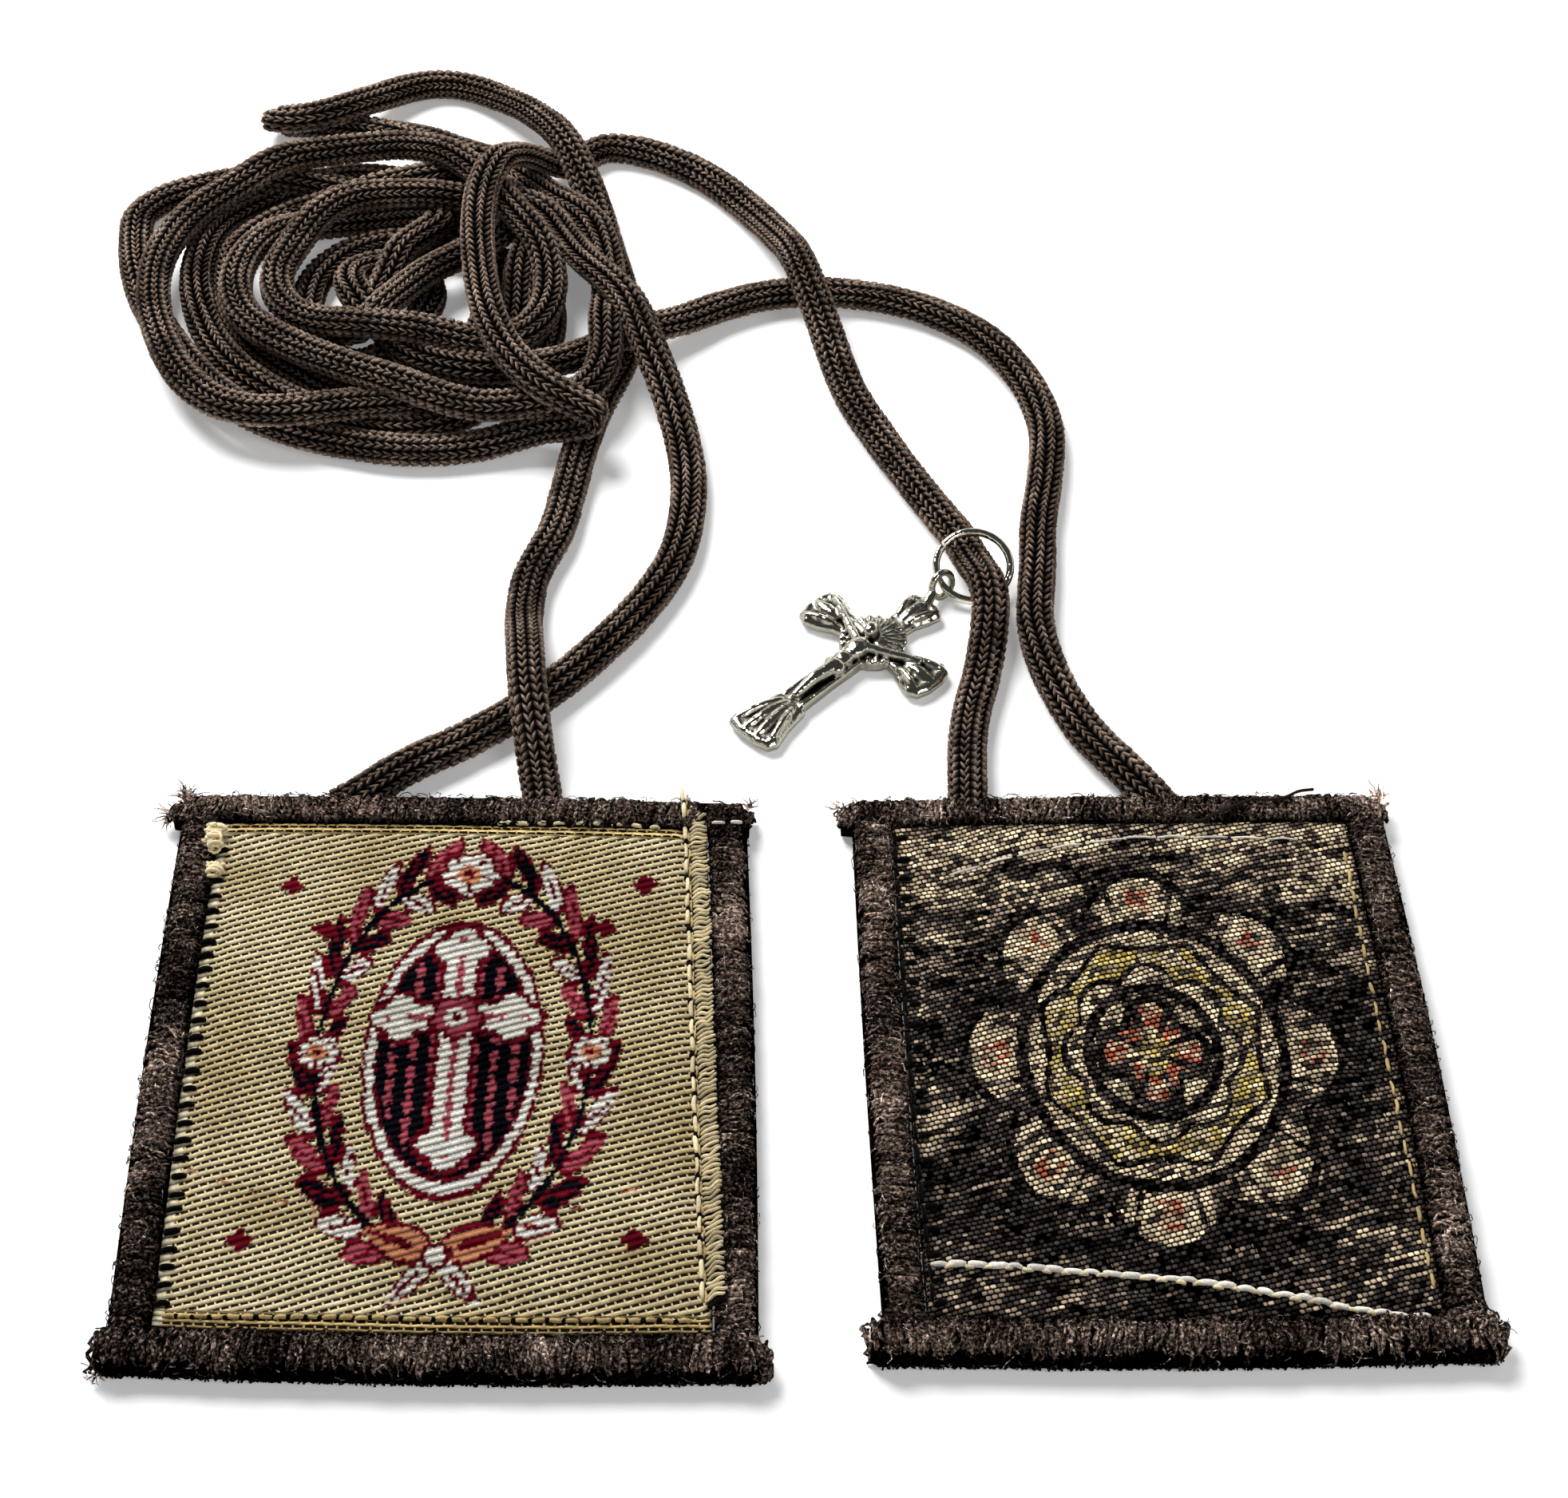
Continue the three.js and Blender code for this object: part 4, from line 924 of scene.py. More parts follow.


# Rayon and cotton jacquard weave: smooth rounded threads that darken towards their sides as painted
# shade, black painted into the slots between the ribs as shade. The mesh carries each place's
# float and rib number, so the threads stay sharp at any size. On the dark label each float is
# light or near-black by chance, in strings of a few floats.
def wovenMaterial(name, look, flecked):
    rows = [
        ("colour", "Attribute", {"attribute_name": "yarn"}),
        ("place", "Attribute", {"attribute_name": "weave"}),
        ("split", "SeparateXYZ", {"Vector": "place.Vector"}),
        ("row", "Math", {"operation": "FLOOR", 0: "split.Y"}),
        ("across", "Math", {"operation": "FRACT", 0: "split.Y"}),
        ("shift", "Math", {"operation": "MULTIPLY_ADD", 0: "row", 1: look["step"], 2: "split.X"}),
        ("cell", "Math", {"operation": "FLOOR", 0: "shift"}),
        ("along", "Math", {"operation": "FRACT", 0: "shift"}),
        ("q", "Math", {"operation": "SUBTRACT", 0: "across", 1: 0.5}),
        ("qq", "Math", {"operation": "MULTIPLY", 0: "q", 1: "q"}),
        # painted shade: each thread darkens towards its sides
        ("round", "Math", {"operation": "MULTIPLY_ADD", 0: "qq", 1: -3.7, 2: 1.0}),
        ("p", "Math", {"operation": "SUBTRACT", 0: "along", 1: 0.5}),
        ("pAbs", "Math", {"operation": "ABSOLUTE", 0: "p"}),
        ("pCube", "Math", {"operation": "POWER", 0: "pAbs", 1: 3.0}),
        ("bead", "Math", {"operation": "MULTIPLY_ADD", 0: "pCube", 1: -8.0 * look["beading"], 2: 1.0}),
        ("height", "Math", {"operation": "MULTIPLY", 0: "round", 1: "bead"}),
        ("number", "CombineXYZ", {"X": "cell", "Y": "row"}),
        ("chance", "TexWhiteNoise", {"noise_dimensions": "2D", "Vector": "number"}),
    ]
    if flecked:
        rows += [
            ("third", "Math", {"operation": "MULTIPLY", 0: "shift", 1: 0.34}),
            ("group", "Math", {"operation": "FLOOR", 0: "third"}),
            ("string", "CombineXYZ", {"Z": 3.0, "X": "group", "Y": "row"}),
            ("fate", "TexWhiteNoise", {"noise_dimensions": "3D", "Vector": "string"}),
            ("halfFate", "Math", {"operation": "MULTIPLY", 0: "fate.Value", 1: 0.5}),
            ("luck", "Math", {"operation": "MULTIPLY_ADD", 0: "chance.Value", 1: 0.5, 2: "halfFate"}),
            ("over", "Math", {"operation": "SUBTRACT", 0: "split.Z", 1: "luck"}),
            ("light", "MapRange", {"From Min": -0.03, "From Max": 0.03, "Value": "over"}),
            # painted shade: each float darkens towards its sides, the near-black ones too
            ("lift", "MapRange", {"From Min": 0.32, "From Max": 0.85, "Value": "height"}),
            ("bright", "Math", {"operation": "MULTIPLY", 0: "light", 1: "lift"}),
            ("warm", "Math", {"operation": "MULTIPLY_ADD", 0: "chance.Value", 1: 1.4, 2: 0.7}),
            ("level", "Math", {"operation": "MULTIPLY", 0: "bright", 1: "warm"}),
            ("lit", "VectorMath", {"operation": "SCALE", 0: "colour.Color", "Scale": "level"}),
            ("chanceTwo", "Math", {"operation": "POWER", 0: "chance.Value", 1: 2.0}),
            ("black", "Math", {"operation": "MULTIPLY", 0: "chanceTwo", 1: "lift"}),
            ("unlit", "VectorMath", {
                "operation": "SCALE", 0: (linear(look["black"]) * 26).tolist(), "Scale": "black",
            }),
            ("tint", "VectorMath", {"operation": "ADD", 0: "lit", 1: "unlit"}),
        ]
    else:
        rows += [
            # painted shade: black in the slots between the ribs, as deep as the weave's third value asks
            ("slotAcross", "MapRange", {
                "interpolation_type": "SMOOTHSTEP", "From Min": 0.45, "From Max": 0.58, "Value": "across",
            }),
            ("slotAlong", "MapRange", {
                "interpolation_type": "SMOOTHSTEP", "From Min": 0.47, "From Max": 0.35, "Value": "pAbs",
            }),
            ("slot", "Math", {"operation": "MULTIPLY", 0: "slotAcross", 1: "slotAlong"}),
            ("slotDepth", "Math", {"operation": "MULTIPLY", 0: "slot", 1: "split.Z", "use_clamp": True}),
            ("open", "Math", {"operation": "MULTIPLY_ADD", 0: "slotDepth", 1: -0.985, 2: 1.0}),
            ("body", "Math", {"operation": "MULTIPLY_ADD", 0: "height", 1: 1.26, 2: 0.04}),
            ("vary", "Math", {"operation": "MULTIPLY_ADD", 0: "chance.Value", 1: 0.30, 2: 0.86}),
            ("level", "Math", {"operation": "MULTIPLY", 0: "body", 1: "vary"}),
            ("shown", "Math", {"operation": "MULTIPLY", 0: "level", 1: "open"}),
            ("tint", "VectorMath", {"operation": "SCALE", 0: "colour.Color", "Scale": "shown"}),
        ]
    rows.append(("bump", "Bump", {"Strength": 0.8, "Distance": 0.00014, "Height": "height"}))
    settings = {"Roughness": look["rough"], "Specular IOR Level": 0.0}
    return newMaterial(name, settings, rows, {"Base Color": "tint", "Normal": "bump"})


labelMaterials = {
    "a": wovenMaterial("rayonJacquardWovenGold", goldLook, False),
    "b": wovenMaterial("rayonJacquardWovenDark", darkLook, True),
}
# Felted wool cloth: matt, nap of short fibres.
woolLook = {"colour": "#33261f", "nap": 2600.0}
woolMaterial = newMaterial("woolFelted", {
    "Base Color": rgba(woolLook["colour"]), "Roughness": 0.95, "Sheen Weight": 0.3,
}, [
    ("place", "TexCoord", {}),
    ("nap", "TexNoise", {"Scale": woolLook["nap"], "Detail": 4.0, "Roughness": 0.7, "Vector": "place.Object"}),
    ("ramp", "MapRange", {"From Min": 0.3, "From Max": 0.7, "To Min": 0.5, "To Max": 1.5, "Value": "nap.Fac"}),
    ("tint", "VectorMath", {"operation": "SCALE", 0: linear(woolLook["colour"]).tolist(), "Scale": "ramp"}),
    ("bump", "Bump", {"Strength": 0.6, "Distance": 0.0002, "Height": "nap.Fac"}),
], {"Base Color": "tint", "Normal": "bump"})

labels, backs = {}, {}
for side, look, top, slotName in (("a", goldLook, goldTop, "gold_weave"), ("b", darkLook, darkTop, "dark_weave")):
    panel = panels[side]
    under = panelSizes["backThickness"] + panelSizes["seamGap"]
    label = clothSlab("label" + side.upper(), panel, look["spacing"], top, under, labelMaterials[side])
    back = clothSlab(
        "back" + side.upper(), panel, 0.9,
        lambda s, t, x, y: (panelSizes["backThickness"] + crown(s, t), None, None), 0.0, woolMaterial,
    )
    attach(label, "cloth")
    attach(back, "cloth")
    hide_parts("panel_" + side + "_label")
    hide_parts("panel_" + side + "_back")
    labels[side], backs[side] = label, back
print("panels made")


# Overcast edging

edgeLook = {
    "clump": 0.95,  # mm between the clumps of wraps that the needle makes
    "slant": 0.5,
    "light": "#594d45",
    "middle": "#2a211d",
    # near-black core: painted shade down between the wraps
    "dark": "#020101",
    "hair": "#9c8f85",
    "hairs": 1000,
    "tail": "#8c7a6e",
    "inset": 0.22,  # from the edging's side to the middle of a wrap
}
# The wool goes round in two layers: thick wraps, and over them thinner crinkled strands.
edgeLayers = [
    {"pitch": 0.60, "thick": 0.33, "wander": 0.12, "lift": 0.0, "sides": 6, "stations": 9, "tone": 0.0},
    {"pitch": 0.37, "thick": 0.14, "wander": 0.46, "lift": 0.18, "sides": 4, "stations": 15, "tone": 0.22},
]
# A wrap's way over the edging, from the label to the outer foot: across as a share of the
# half width (outwards), up as a share of the height.
wrapAcross = np.array([-1.18, -1.04, -0.74, -0.28, 0.24, 0.66, 0.92, 0.99, 0.93])
wrapUp = np.array([0.84, 0.90, 0.95, 0.97, 0.97, 0.90, 0.70, 0.38, 0.10])


def wrapProfile(share):
    return (np.interp(share, np.linspace(0, 1, 9), values) for values in (wrapAcross, wrapUp))


# The middle line of one run of edging and its outward direction, at places along it in mm.
def runLine(panel, side, along):
    width, height = planSize(panel)
    level = side in ("far", "near")
    length, depth = (width, height) if level else (height, width)
    middle = panelSizes["edgeWidth"] / 2 / depth

    def place(a):
        b = (1 - middle if side in ("far", "right") else middle) + 0 * a
        return planPoint(panel, a, b) if level else planPoint(panel, b, a)

    here, there = place(along / length), place((along + 0.5) / length)
    run = (there - here) / np.linalg.norm(there - here, axis=-1, keepdims=True)
    out = np.stack([-run[..., 1], run[..., 0]], -1) * (1 if side in ("far", "left") else -1)
    return here, run, out


def runEnds(panel, side):
    width, height = planSize(panel)
    if side in ("far", "near"):
        before, after = panel["overrun"][side]
        return -before, width + after
    # its ends tuck under the far and near runs
    return panelSizes["edgeWidth"] - 0.4, height - panelSizes["edgeWidth"] + 0.4


# How thick the edging is along a run: the far run thins towards its ends, the near run ends in
# rounded bulges.
def runFullness(along, start, end, side):
    if side in ("left", "right"):
        return np.ones(along.shape)
    fromEnd = np.minimum(along - start, end - along)
    if side == "near":
        return 1 + 0.10 * smooth(3.4, 1.6, fromEnd) - 0.38 * smooth(1.3, 0, fromEnd)
    return 0.70 + 0.30 * smooth(0, 2.4, fromEnd)


# One layer of wraps on one run. A wrap follows the profile above, leans, and wanders sideways.
def wrapLayer(panel, side, seed, layer):
    start, end = runEnds(panel, side)
    count = int((end - start) / layer["pitch"])
    k = np.arange(count)
    along = start + (k + 0.5) * (end - start) / count + layer["pitch"] * 0.7 * (scatter(k, 1, seed) - 0.5)
    full = runFullness(along, start, end, side)
    waver = 2.2 * softNoise(along / 5.0, 0, seed + 9)
    clump = 0.5 + 0.5 * np.cos(2 * math.pi * along / edgeLook["clump"] + waver)
    lump = 1 + 0.05 * softNoise(along / 2.6, 0, seed + 1) + 0.06 * (scatter(k, 1, seed + 2) - 0.5)
    lump += 0.04 * (clump - 0.5)
    here, run, out = runLine(panel, side, along)
    share = np.linspace(0, 1, layer["stations"])
    across, up = wrapProfile(share)
    reachIn = 0.30 * scatter(k, 1, seed + 4) * (scatter(k, 1, seed + 6) > 0.5)
    reach = across - reachIn[:, None] * (share < 0.10)
    half = panelSizes["edgeWidth"] / 2 - edgeLook["inset"]
    offset = reach * half * (full * lump)[:, None] + layer["lift"] * np.clip(across, -0.2, 1)
    flip = np.where(softNoise(along / 9.0, 0, seed + 5) > 0.2, -1, 1)
    lean = edgeLook["slant"] * (0.6 + 0.8 * scatter(k, 1, seed + 3)) * flip * 0.5
    drift = layer["wander"] * softNoise(k[:, None] * 3.1, share[None, :] * 8.5, seed + 8)
    swing = lean[:, None] * across + drift
    xy = here[:, None, :] + out[:, None, :] * offset[..., None] + run[:, None, :] * swing[..., None]
    taper = np.interp(share, [0, 0.1, 0.25, 0.8, 1], [0.45, 0.8, 1.0, 1.0, 0.7])
    radii = layer["thick"] * (0.75 + 0.5 * scatter(k, 1, seed + 7))[:, None] * taper
    radii = radii * (1 + 0.28 * softNoise(k[:, None] * 5.3, share[None, :] * 8, seed + 12))
    rise = layer["lift"] * np.clip(up * 1.3, 0, 1) + 0.5 * drift * (layer["lift"] > 0)
    z = np.maximum(up * panelSizes["edgeHeight"] * (full * lump)[:, None] - 0.05 + rise, radii + 0.02)
    part = tubes(np.concatenate([xy, z[..., None]], -1), radii, layer["sides"])
    tone = 0.30 + 0.28 * softNoise(along / 1.5, 0, seed + 6) + 0.45 * (scatter(k, 1, seed + 11) - 0.5) + layer["tone"]
    ramp = mix(linear(edgeLook["middle"]), linear(edgeLook["light"]), np.clip(tone, 0, 1)[:, None, None])
    # painted shade: each wrap darkens where it dips to the label and to the outer foot, and in the grooves between
    # clumps
    depth = np.interp(share, [0, 0.08, 0.22, 0.45, 0.7, 0.85, 1], [0.12, 0.35, 0.95, 1.1, 0.85, 0.35, 0.08])
    depth = depth * (0.50 + 0.65 * clump)[:, None] * (1 + 0.5 * softNoise(k[:, None] * 2.7, share * 9, seed + 13))
    shade = np.concatenate([np.repeat(depth, layer["sides"], axis=1), depth[:, :1], depth[:, -1:]], 1)[..., None]
    return part, (ramp * shade).reshape(-1, 3)


# The padded core under the wraps: an oval carried along the run, with closed ends, coloured near black as painted
# shade between the wraps.
def edgeCore(panel, side):
    start, end = runEnds(panel, side)
    rings, around = 60, 14
    steps = np.linspace(start + 0.3, end - 0.3, rings)
    middle, run, out = runLine(panel, side, steps)
    full = runFullness(steps, start, end, side)[:, None]
    turn = 2 * math.pi * np.arange(around) / around
    c, n = np.cos(turn), np.sin(turn)
    ringX = np.sign(c) * np.abs(c) ** 0.7 * 1.72
    ringZ = np.sign(n) * np.abs(n) ** 0.7 * 1.28 * np.where(n > 0, 1.0, 0.9) + 1.32
    xy = middle[:, None, :] + out[:, None, :] * (ringX * full)[..., None]
    points = np.concatenate([xy, (ringZ * full)[..., None]], -1).reshape(-1, 3)
    points = np.concatenate([points, points[:around].mean(0, keepdims=True), points[-around:].mean(0, keepdims=True)])
    quads, tris = tubeFaces(rings, around)
    if side in ("far", "left"):
        quads, tris = quads[:, ::-1], tris[:, ::-1]
    return points, quads, tris


# Loose fibres: short curved hairs that start on the wool and wander off it.
def fuzz(panel, seed, count):
    coloured = []
    for n, (side, portion) in enumerate((("left", 0.27), ("right", 0.27), ("far", 0.23), ("near", 0.23))):
        start, end = runEnds(panel, side)
        k = np.arange(int(count * portion))
        along = start + 0.4 + scatter(k, n, seed) * (end - start - 0.8)
        here, run, out = runLine(panel, side, along)
        share = 0.10 + 0.78 * scatter(k, n, seed + 1)
        long = 0.4 + 1.0 * scatter(k, n, seed + 2) ** 2
        heading = 2 * math.pi * scatter(k, n, seed + 3)
        t = np.linspace(0, 1, 4)
        alongPart = (np.cos(heading) * long)[:, None] * t + 0.25 * softNoise(k[:, None] * 2.3, t * 3, seed + 4)
        sharePart = np.clip(share[:, None] + (np.sin(heading) * long / 6.0)[:, None] * t, 0.03, 0.97)
        across, up = wrapProfile(sharePart)
        full = runFullness(along, start, end, side)[:, None]
        loft = 0.30 + 0.35 * scatter(k, n, seed + 5)[:, None] * np.sin(math.pi * t * 0.8)
        half = panelSizes["edgeWidth"] / 2 - edgeLook["inset"]
        offset = across * half * full + loft * np.clip(across, -0.3, 1)
        xy = here[:, None, :] + out[:, None, :] * offset[..., None] + run[:, None, :] * alongPart[..., None]
        z = np.maximum(up * panelSizes["edgeHeight"] * full + loft * np.clip(1.2 * up, 0, 1), 0.08)
        radii = np.full(z.shape, 0.045) * (0.7 + 0.6 * scatter(k, n, seed + 6))[:, None]
        part = tubes(np.concatenate([xy, z[..., None]], -1), radii, 3)
        tone = (0.08 + 0.5 * scatter(k, n, seed + 7) ** 3)[:, None]
        coloured.append(tinted(part, linear(edgeLook["hair"]) * tone))
    return coloured


# Frayed tails: yarn ends that fan out from a corner, each with a bend of its own. A tail is
# (place, direction in degrees, spread, length, how many).
def tails(rows, seed, colour, thick):
    coloured = []
    for n, (place, heading, spread, long, count) in enumerate(rows):
        k = np.arange(count)
        draw = [scatter(k, n, seed + m)[:, None] for m in range(11)]
        t = np.linspace(0, 1, 6)
        angle = np.radians(heading + spread * (draw[0] - 0.5)) + 1.8 * (draw[1] - 0.5) * t
        reach = long * (0.45 + 0.75 * draw[2]) * t
        base = np.array(place) + 0.7 * (np.concatenate(draw[3:6], 1) - 0.5)
        x = base[:, :1] + reach * np.cos(angle) + 0.22 * softNoise(k[:, None] * 1.7, t * 4, seed + 6) * t
        y = base[:, 1:2] + reach * np.sin(angle) + 0.22 * softNoise(k[:, None] * 2.9, t * 4, seed + 7) * t
        z = np.maximum(base[:, 2:] + 1.3 * (draw[8] - 0.4) * t, thick + 0.03)
        radii = thick * (0.6 + 0.8 * draw[9]) * np.array([1, 1, 0.95, 0.85, 0.7, 0.4])
        part = tubes(np.stack([x, y, z], -1), radii, 4)
        coloured.append(tinted(part, linear(colour) * (0.45 + 0.8 * draw[10])))
    return coloured


frayedCorners = {
    "a": [
        ((-54.1, 29.4, 1.9), 95, 50, 1.9, 46), ((-54.9, 28.8, 1.4), 215, 40, 2.0, 30),
        ((-53.2, -29.0, 0.9), 235, 120, 1.0, 14), ((-3.8, 29.3, 1.4), 60, 120, 0.8, 10),
    ],
    "b": [
        ((4.6, 29.0, 1.5), 175, 100, 1.0, 10), ((52.9, 29.9, 1.7), 70, 70, 1.4, 22),
        ((54.4, -25.2, 1.2), 25, 70, 1.4, 22),
    ],
}


def edging(name, side, seed, material):
    panel = panels[side]
    coloured = []
    for n, run in enumerate(("left", "right", "far", "near")):
        for m, layer in enumerate(edgeLayers):
            coloured.append(wrapLayer(panel, run, seed + 20 * n + 7 * m, layer))
        coloured.append(tinted(edgeCore(panel, run), linear(edgeLook["dark"])[None]))
    coloured += fuzz(panel, seed + 90, edgeLook["hairs"])
    coloured += tails(frayedCorners[side], seed + 95, edgeLook["tail"], 0.07)
    return yarnPiece(name, coloured, material)


# Spun woolly nylon, overlocked: dull, crinkled and hairy, with painted shade near black down between the wraps.
edgeMaterial = yarnMaterial("woollyYarnOverlocked", {
    "rough": 0.95, "sheen": 0.0, "fibre": 3400.0, "crush": 3.6, "low": 0.03, "high": 13.0, "relief": 0.00025,
})
for side, seed in (("a", 101), ("b", 231)):
    piece = edging("edging" + side.upper(), side, seed, edgeMaterial)
    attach(piece, "cloth")
    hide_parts(*["panel_" + side + "_edge_" + run for run in ("far", "near", "left", "right")])
print("edging made")


# Sewing threads

threadLook = {
    "cream": "#e3d3ac",
    "white": "#efe9dd",
    "tan": "#b9a06c",
    "black": "#080605",
    "loose": "#2a211c",
    "seamA": [(-9.7, 30.2), (-9.4, 27.0), (-9.0, 19.5), (-8.2, 1.9), (-7.4, -14.2), (-6.8, -25.0)],
    "cornerA": [(-8.4, 26.0), (-6.2, 25.8), (-3.9, 26.0)],
    "topA": [(-26.0, 26.4), (-15.0, 26.2), (-9.8, 25.6)],
    "hemA": [(-48.8, -24.9), (-36.3, -25.1), (-20.9, -25.3), (-7.4, -25.4)],
    "chainB": [
        (11.0, -20.0), (15.3, -20.2), (24.1, -21.0), (32.7, -21.9), (38.6, -23.0), (45.2, -24.4), (49.8, -25.0),
    ],
    "fineB": [(14.0, 20.4), (21.1, 22.8), (29.0, 24.4), (38.9, 24.6), (48.0, 24.2)],
    "leftB": [(9.3, 25.4), (9.5, 12.0), (9.9, 0.0), (10.4, -12.0), (11.1, -24.0)],
    "rightB": [(48.9, 23.0), (49.5, 0.0), (49.9, -12.0), (50.3, -23.6)],
    "looseB": [
        (34.7, 26.4), (36.6, 26.2), (38.3, 26.9), (40.0, 27.9), (41.3, 28.5), (42.8, 28.4), (44.2, 28.8),
        (45.6, 29.6), (46.9, 29.7),
    ],
}


# Height of the cloth at a place: the label's crown, and near the rim the edging over it.
def clothHeight(side, x, y):
    panel = panels[side]
    (farLeft, yFar), (nearLeft, yNear) = panel["farLeft"], panel["nearLeft"]
    t = np.clip((y - yNear) / (yFar - yNear), 0, 1)
    left = nearLeft + (farLeft - nearLeft) * t
    right = panel["nearRight"][0] + (panel["farRight"][0] - panel["nearRight"][0]) * t
    s = np.clip((x - left) / (right - left), 0, 1)
    width, height = planSize(panel)
    inside = np.minimum(np.minimum(s, 1 - s) * width, np.minimum(t, 1 - t) * height)
    over = smooth(panelSizes["edgeWidth"] + 0.4, panelSizes["edgeWidth"] - 0.4, inside)
    return labelTop + crown(s, t) + pucker(side, x, y) + over * (panelSizes["edgeHeight"] + 0.35 - labelTop)


# Places along a line of points in the plan at distances in mm.
def alongPlan(points, distance):
    p = curveThrough([(x, y, 0.0) for x, y in points], 0.4)
    far = np.concatenate([[0], np.cumsum(np.linalg.norm(np.diff(p, axis=0), axis=1))])
    return np.stack([np.interp(distance, far, p[:, k]) for k in (0, 1)], -1), far[-1]


# Stitches from start places to end places: each rises in a low arch and dips at both ends.
def stitches(side, starts, ends, thick, rise, colour, seed):
    k = np.arange(len(starts))
    t = np.linspace(0, 1, 6)
    xy = starts[:, None, :] * (1 - t)[:, None] + ends[:, None, :] * t[:, None]
    xy = xy + (0.10 * softNoise(k[:, None] * 3.3, t[None, :] * 2, seed))[..., None]
    z = clothHeight(side, xy[..., 0], xy[..., 1]) + rise * np.sin(math.pi * t) - 0.6 * thick
    radii = thick * (0.85 + 0.35 * scatter(k, 2, seed))[:, None] * np.array([0.75, 1, 1.05, 1.05, 1, 0.75])
    part = tubes(np.concatenate([xy, z[..., None]], -1), radii, 6)
    return tinted(part, linear(colour) * (0.75 + 0.4 * scatter(k, 3, seed))[:, None])


def stitchRow(side, points, pitch, long, thick, rise, colour, seed, shift=0.0):
    total = alongPlan(points, np.zeros(1))[1]
    k = np.arange(int((total - shift) / pitch))
    start = shift + k * pitch + 0.25 * (scatter(k, 5, seed) - 0.5)
    end = start + long * (0.85 + 0.3 * scatter(k, 6, seed))
    return stitches(side, alongPlan(points, start)[0], alongPlan(points, end)[0], thick, rise, colour, seed)


# Short dark needle stitches that reach from the edging over the label's rim.
def teeth(side, x0, x1, low, high, step, seed):
    y = np.arange(low, high, step)
    y = y + 0.5 * (scatter(np.arange(len(y)), 4, seed) - 0.5)
    share = (y - low) / (high - low)
    a = np.stack([x0[0] + (x0[1] - x0[0]) * share, y], -1)
    b = np.stack([x1[0] + (x1[1] - x1[0]) * share, y + 0.25], -1)
    return stitches(side, a, b, 0.27, 0.16, threadLook["black"], seed)


look = threadLook
threadsA = [
    stitchRow("a", look["seamA"], 2.0, 1.65, 0.18, 0.16, look["cream"], 301),
    stitchRow("a", [(x + 0.32, y) for x, y in look["seamA"]], 2.0, 1.1, 0.12, 0.10, look["tan"], 302, 0.9),
    stitchRow("a", look["seamA"], 2.0, 0.6, 0.21, 0.02, look["black"], 303, 1.62),
    stitchRow("a", look["cornerA"], 1.5, 1.2, 0.15, 0.14, look["white"], 304),
    stitchRow("a", look["topA"], 1.7, 0.95, 0.18, 0.12, look["cream"], 305),
    stitchRow("a", look["topA"], 1.7, 0.7, 0.20, 0.03, look["black"], 306, 0.95),
    stitchRow("a", look["hemA"], 1.25, 1.0, 0.20, 0.14, look["tan"], 307),
    stitchRow("a", look["hemA"], 1.25, 0.35, 0.22, 0.04, look["black"], 308, 0.98),
    teeth("a", (-49.5, -50.9), (-48.4, -49.8), -24.0, 25.0, 1.75, 309),
]
threadsB = [
    stitchRow("b", look["chainB"], 1.5, 1.45, 0.25, 0.20, look["white"], 321),
    stitchRow("b", [(x, y - 0.22) for x, y in look["chainB"]], 1.5, 0.8, 0.17, 0.16, look["cream"], 322, 1.1),
    stitchRow("b", look["fineB"], 3.2, 2.8, 0.10, 0.10, look["white"], 323),
    stitchRow("b", look["leftB"], 1.9, 1.5, 0.17, 0.08, look["black"], 324),
    stitchRow("b", look["rightB"], 2.1, 1.3, 0.14, 0.08, look["tan"], 325),
    teeth("b", (11.1, 9.4), (12.0, 10.3), -24.0, 25.0, 2.3, 326),
]


# A crumpled lump of thread: turns of a small loop, each on a circle of its own inside an
# ellipsoid. A lump is (middle, size, how many).
def curls(rows, seed, colour, thick):
    coloured = []
    for n, (middle, size, count) in enumerate(rows):
        draw = [scatter(np.arange(count), n, seed + m)[:, None] for m in range(9)]
        turn = 2 * math.pi * (draw[0] - 0.5 + np.linspace(0, 0.75, 9))
        wide, lean = 0.34 + 0.3 * draw[1], math.pi * (draw[2] - 0.5)
        x = middle[0] + size[0] * (draw[3] - 0.5) + wide * np.cos(turn)
        y = middle[1] + size[1] * (draw[4] - 0.5) + wide * np.sin(turn) * np.cos(lean)
        z = middle[2] + size[2] * (draw[5] - 0.5) + 0.6 * wide * np.sin(turn) * np.sin(lean)
        radii = thick * (0.85 + 0.3 * draw[6]) * np.ones(9)
        part = tubes(np.stack([x, y, z], -1), radii, 6)
        coloured.append(tinted(part, linear(colour) * (0.8 + 0.4 * draw[8])))
    return coloured


lumps = [((-50.9, 24.2, 3.0), (0.9, 2.6, 0.5), 26), ((-50.5, 20.6, 2.7), (0.6, 1.5, 0.3), 11)]
threadsA += curls(lumps, 341, look["cream"], 0.17)
looseAt = np.arange(0, 16, 0.5)
looseLine, looseLong = alongPlan(look["looseB"], looseAt)
looseLine = looseLine[looseAt < looseLong]
looseUp = clothHeight("b", looseLine[:, 0], looseLine[:, 1]) + 0.10
looseUp += 0.12 * softNoise(np.arange(len(looseLine)) / 3.0, 0, 327)
looseThread = tubes(np.concatenate([looseLine, looseUp[:, None]], 1)[None], np.full((1, len(looseLine)), 0.15), 6)
threadsB.append(tinted(looseThread, linear(look["loose"])[None]))

# Spun cotton and polyester sewing thread: soft shine, fine plies.
threadMaterial = yarnMaterial("polyesterThreadSewn", {
    "rough": 0.5, "sheen": 0.05, "fibre": 6000.0, "crush": 1.0, "low": 0.7, "high": 1.3, "relief": 0.00006,
})
for name, coloured, slotName in (("threadsA", threadsA, "gold_weave"), ("threadsB", threadsB, "dark_weave")):
    piece = yarnPiece(name, coloured, threadMaterial)
    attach(piece, "cloth")
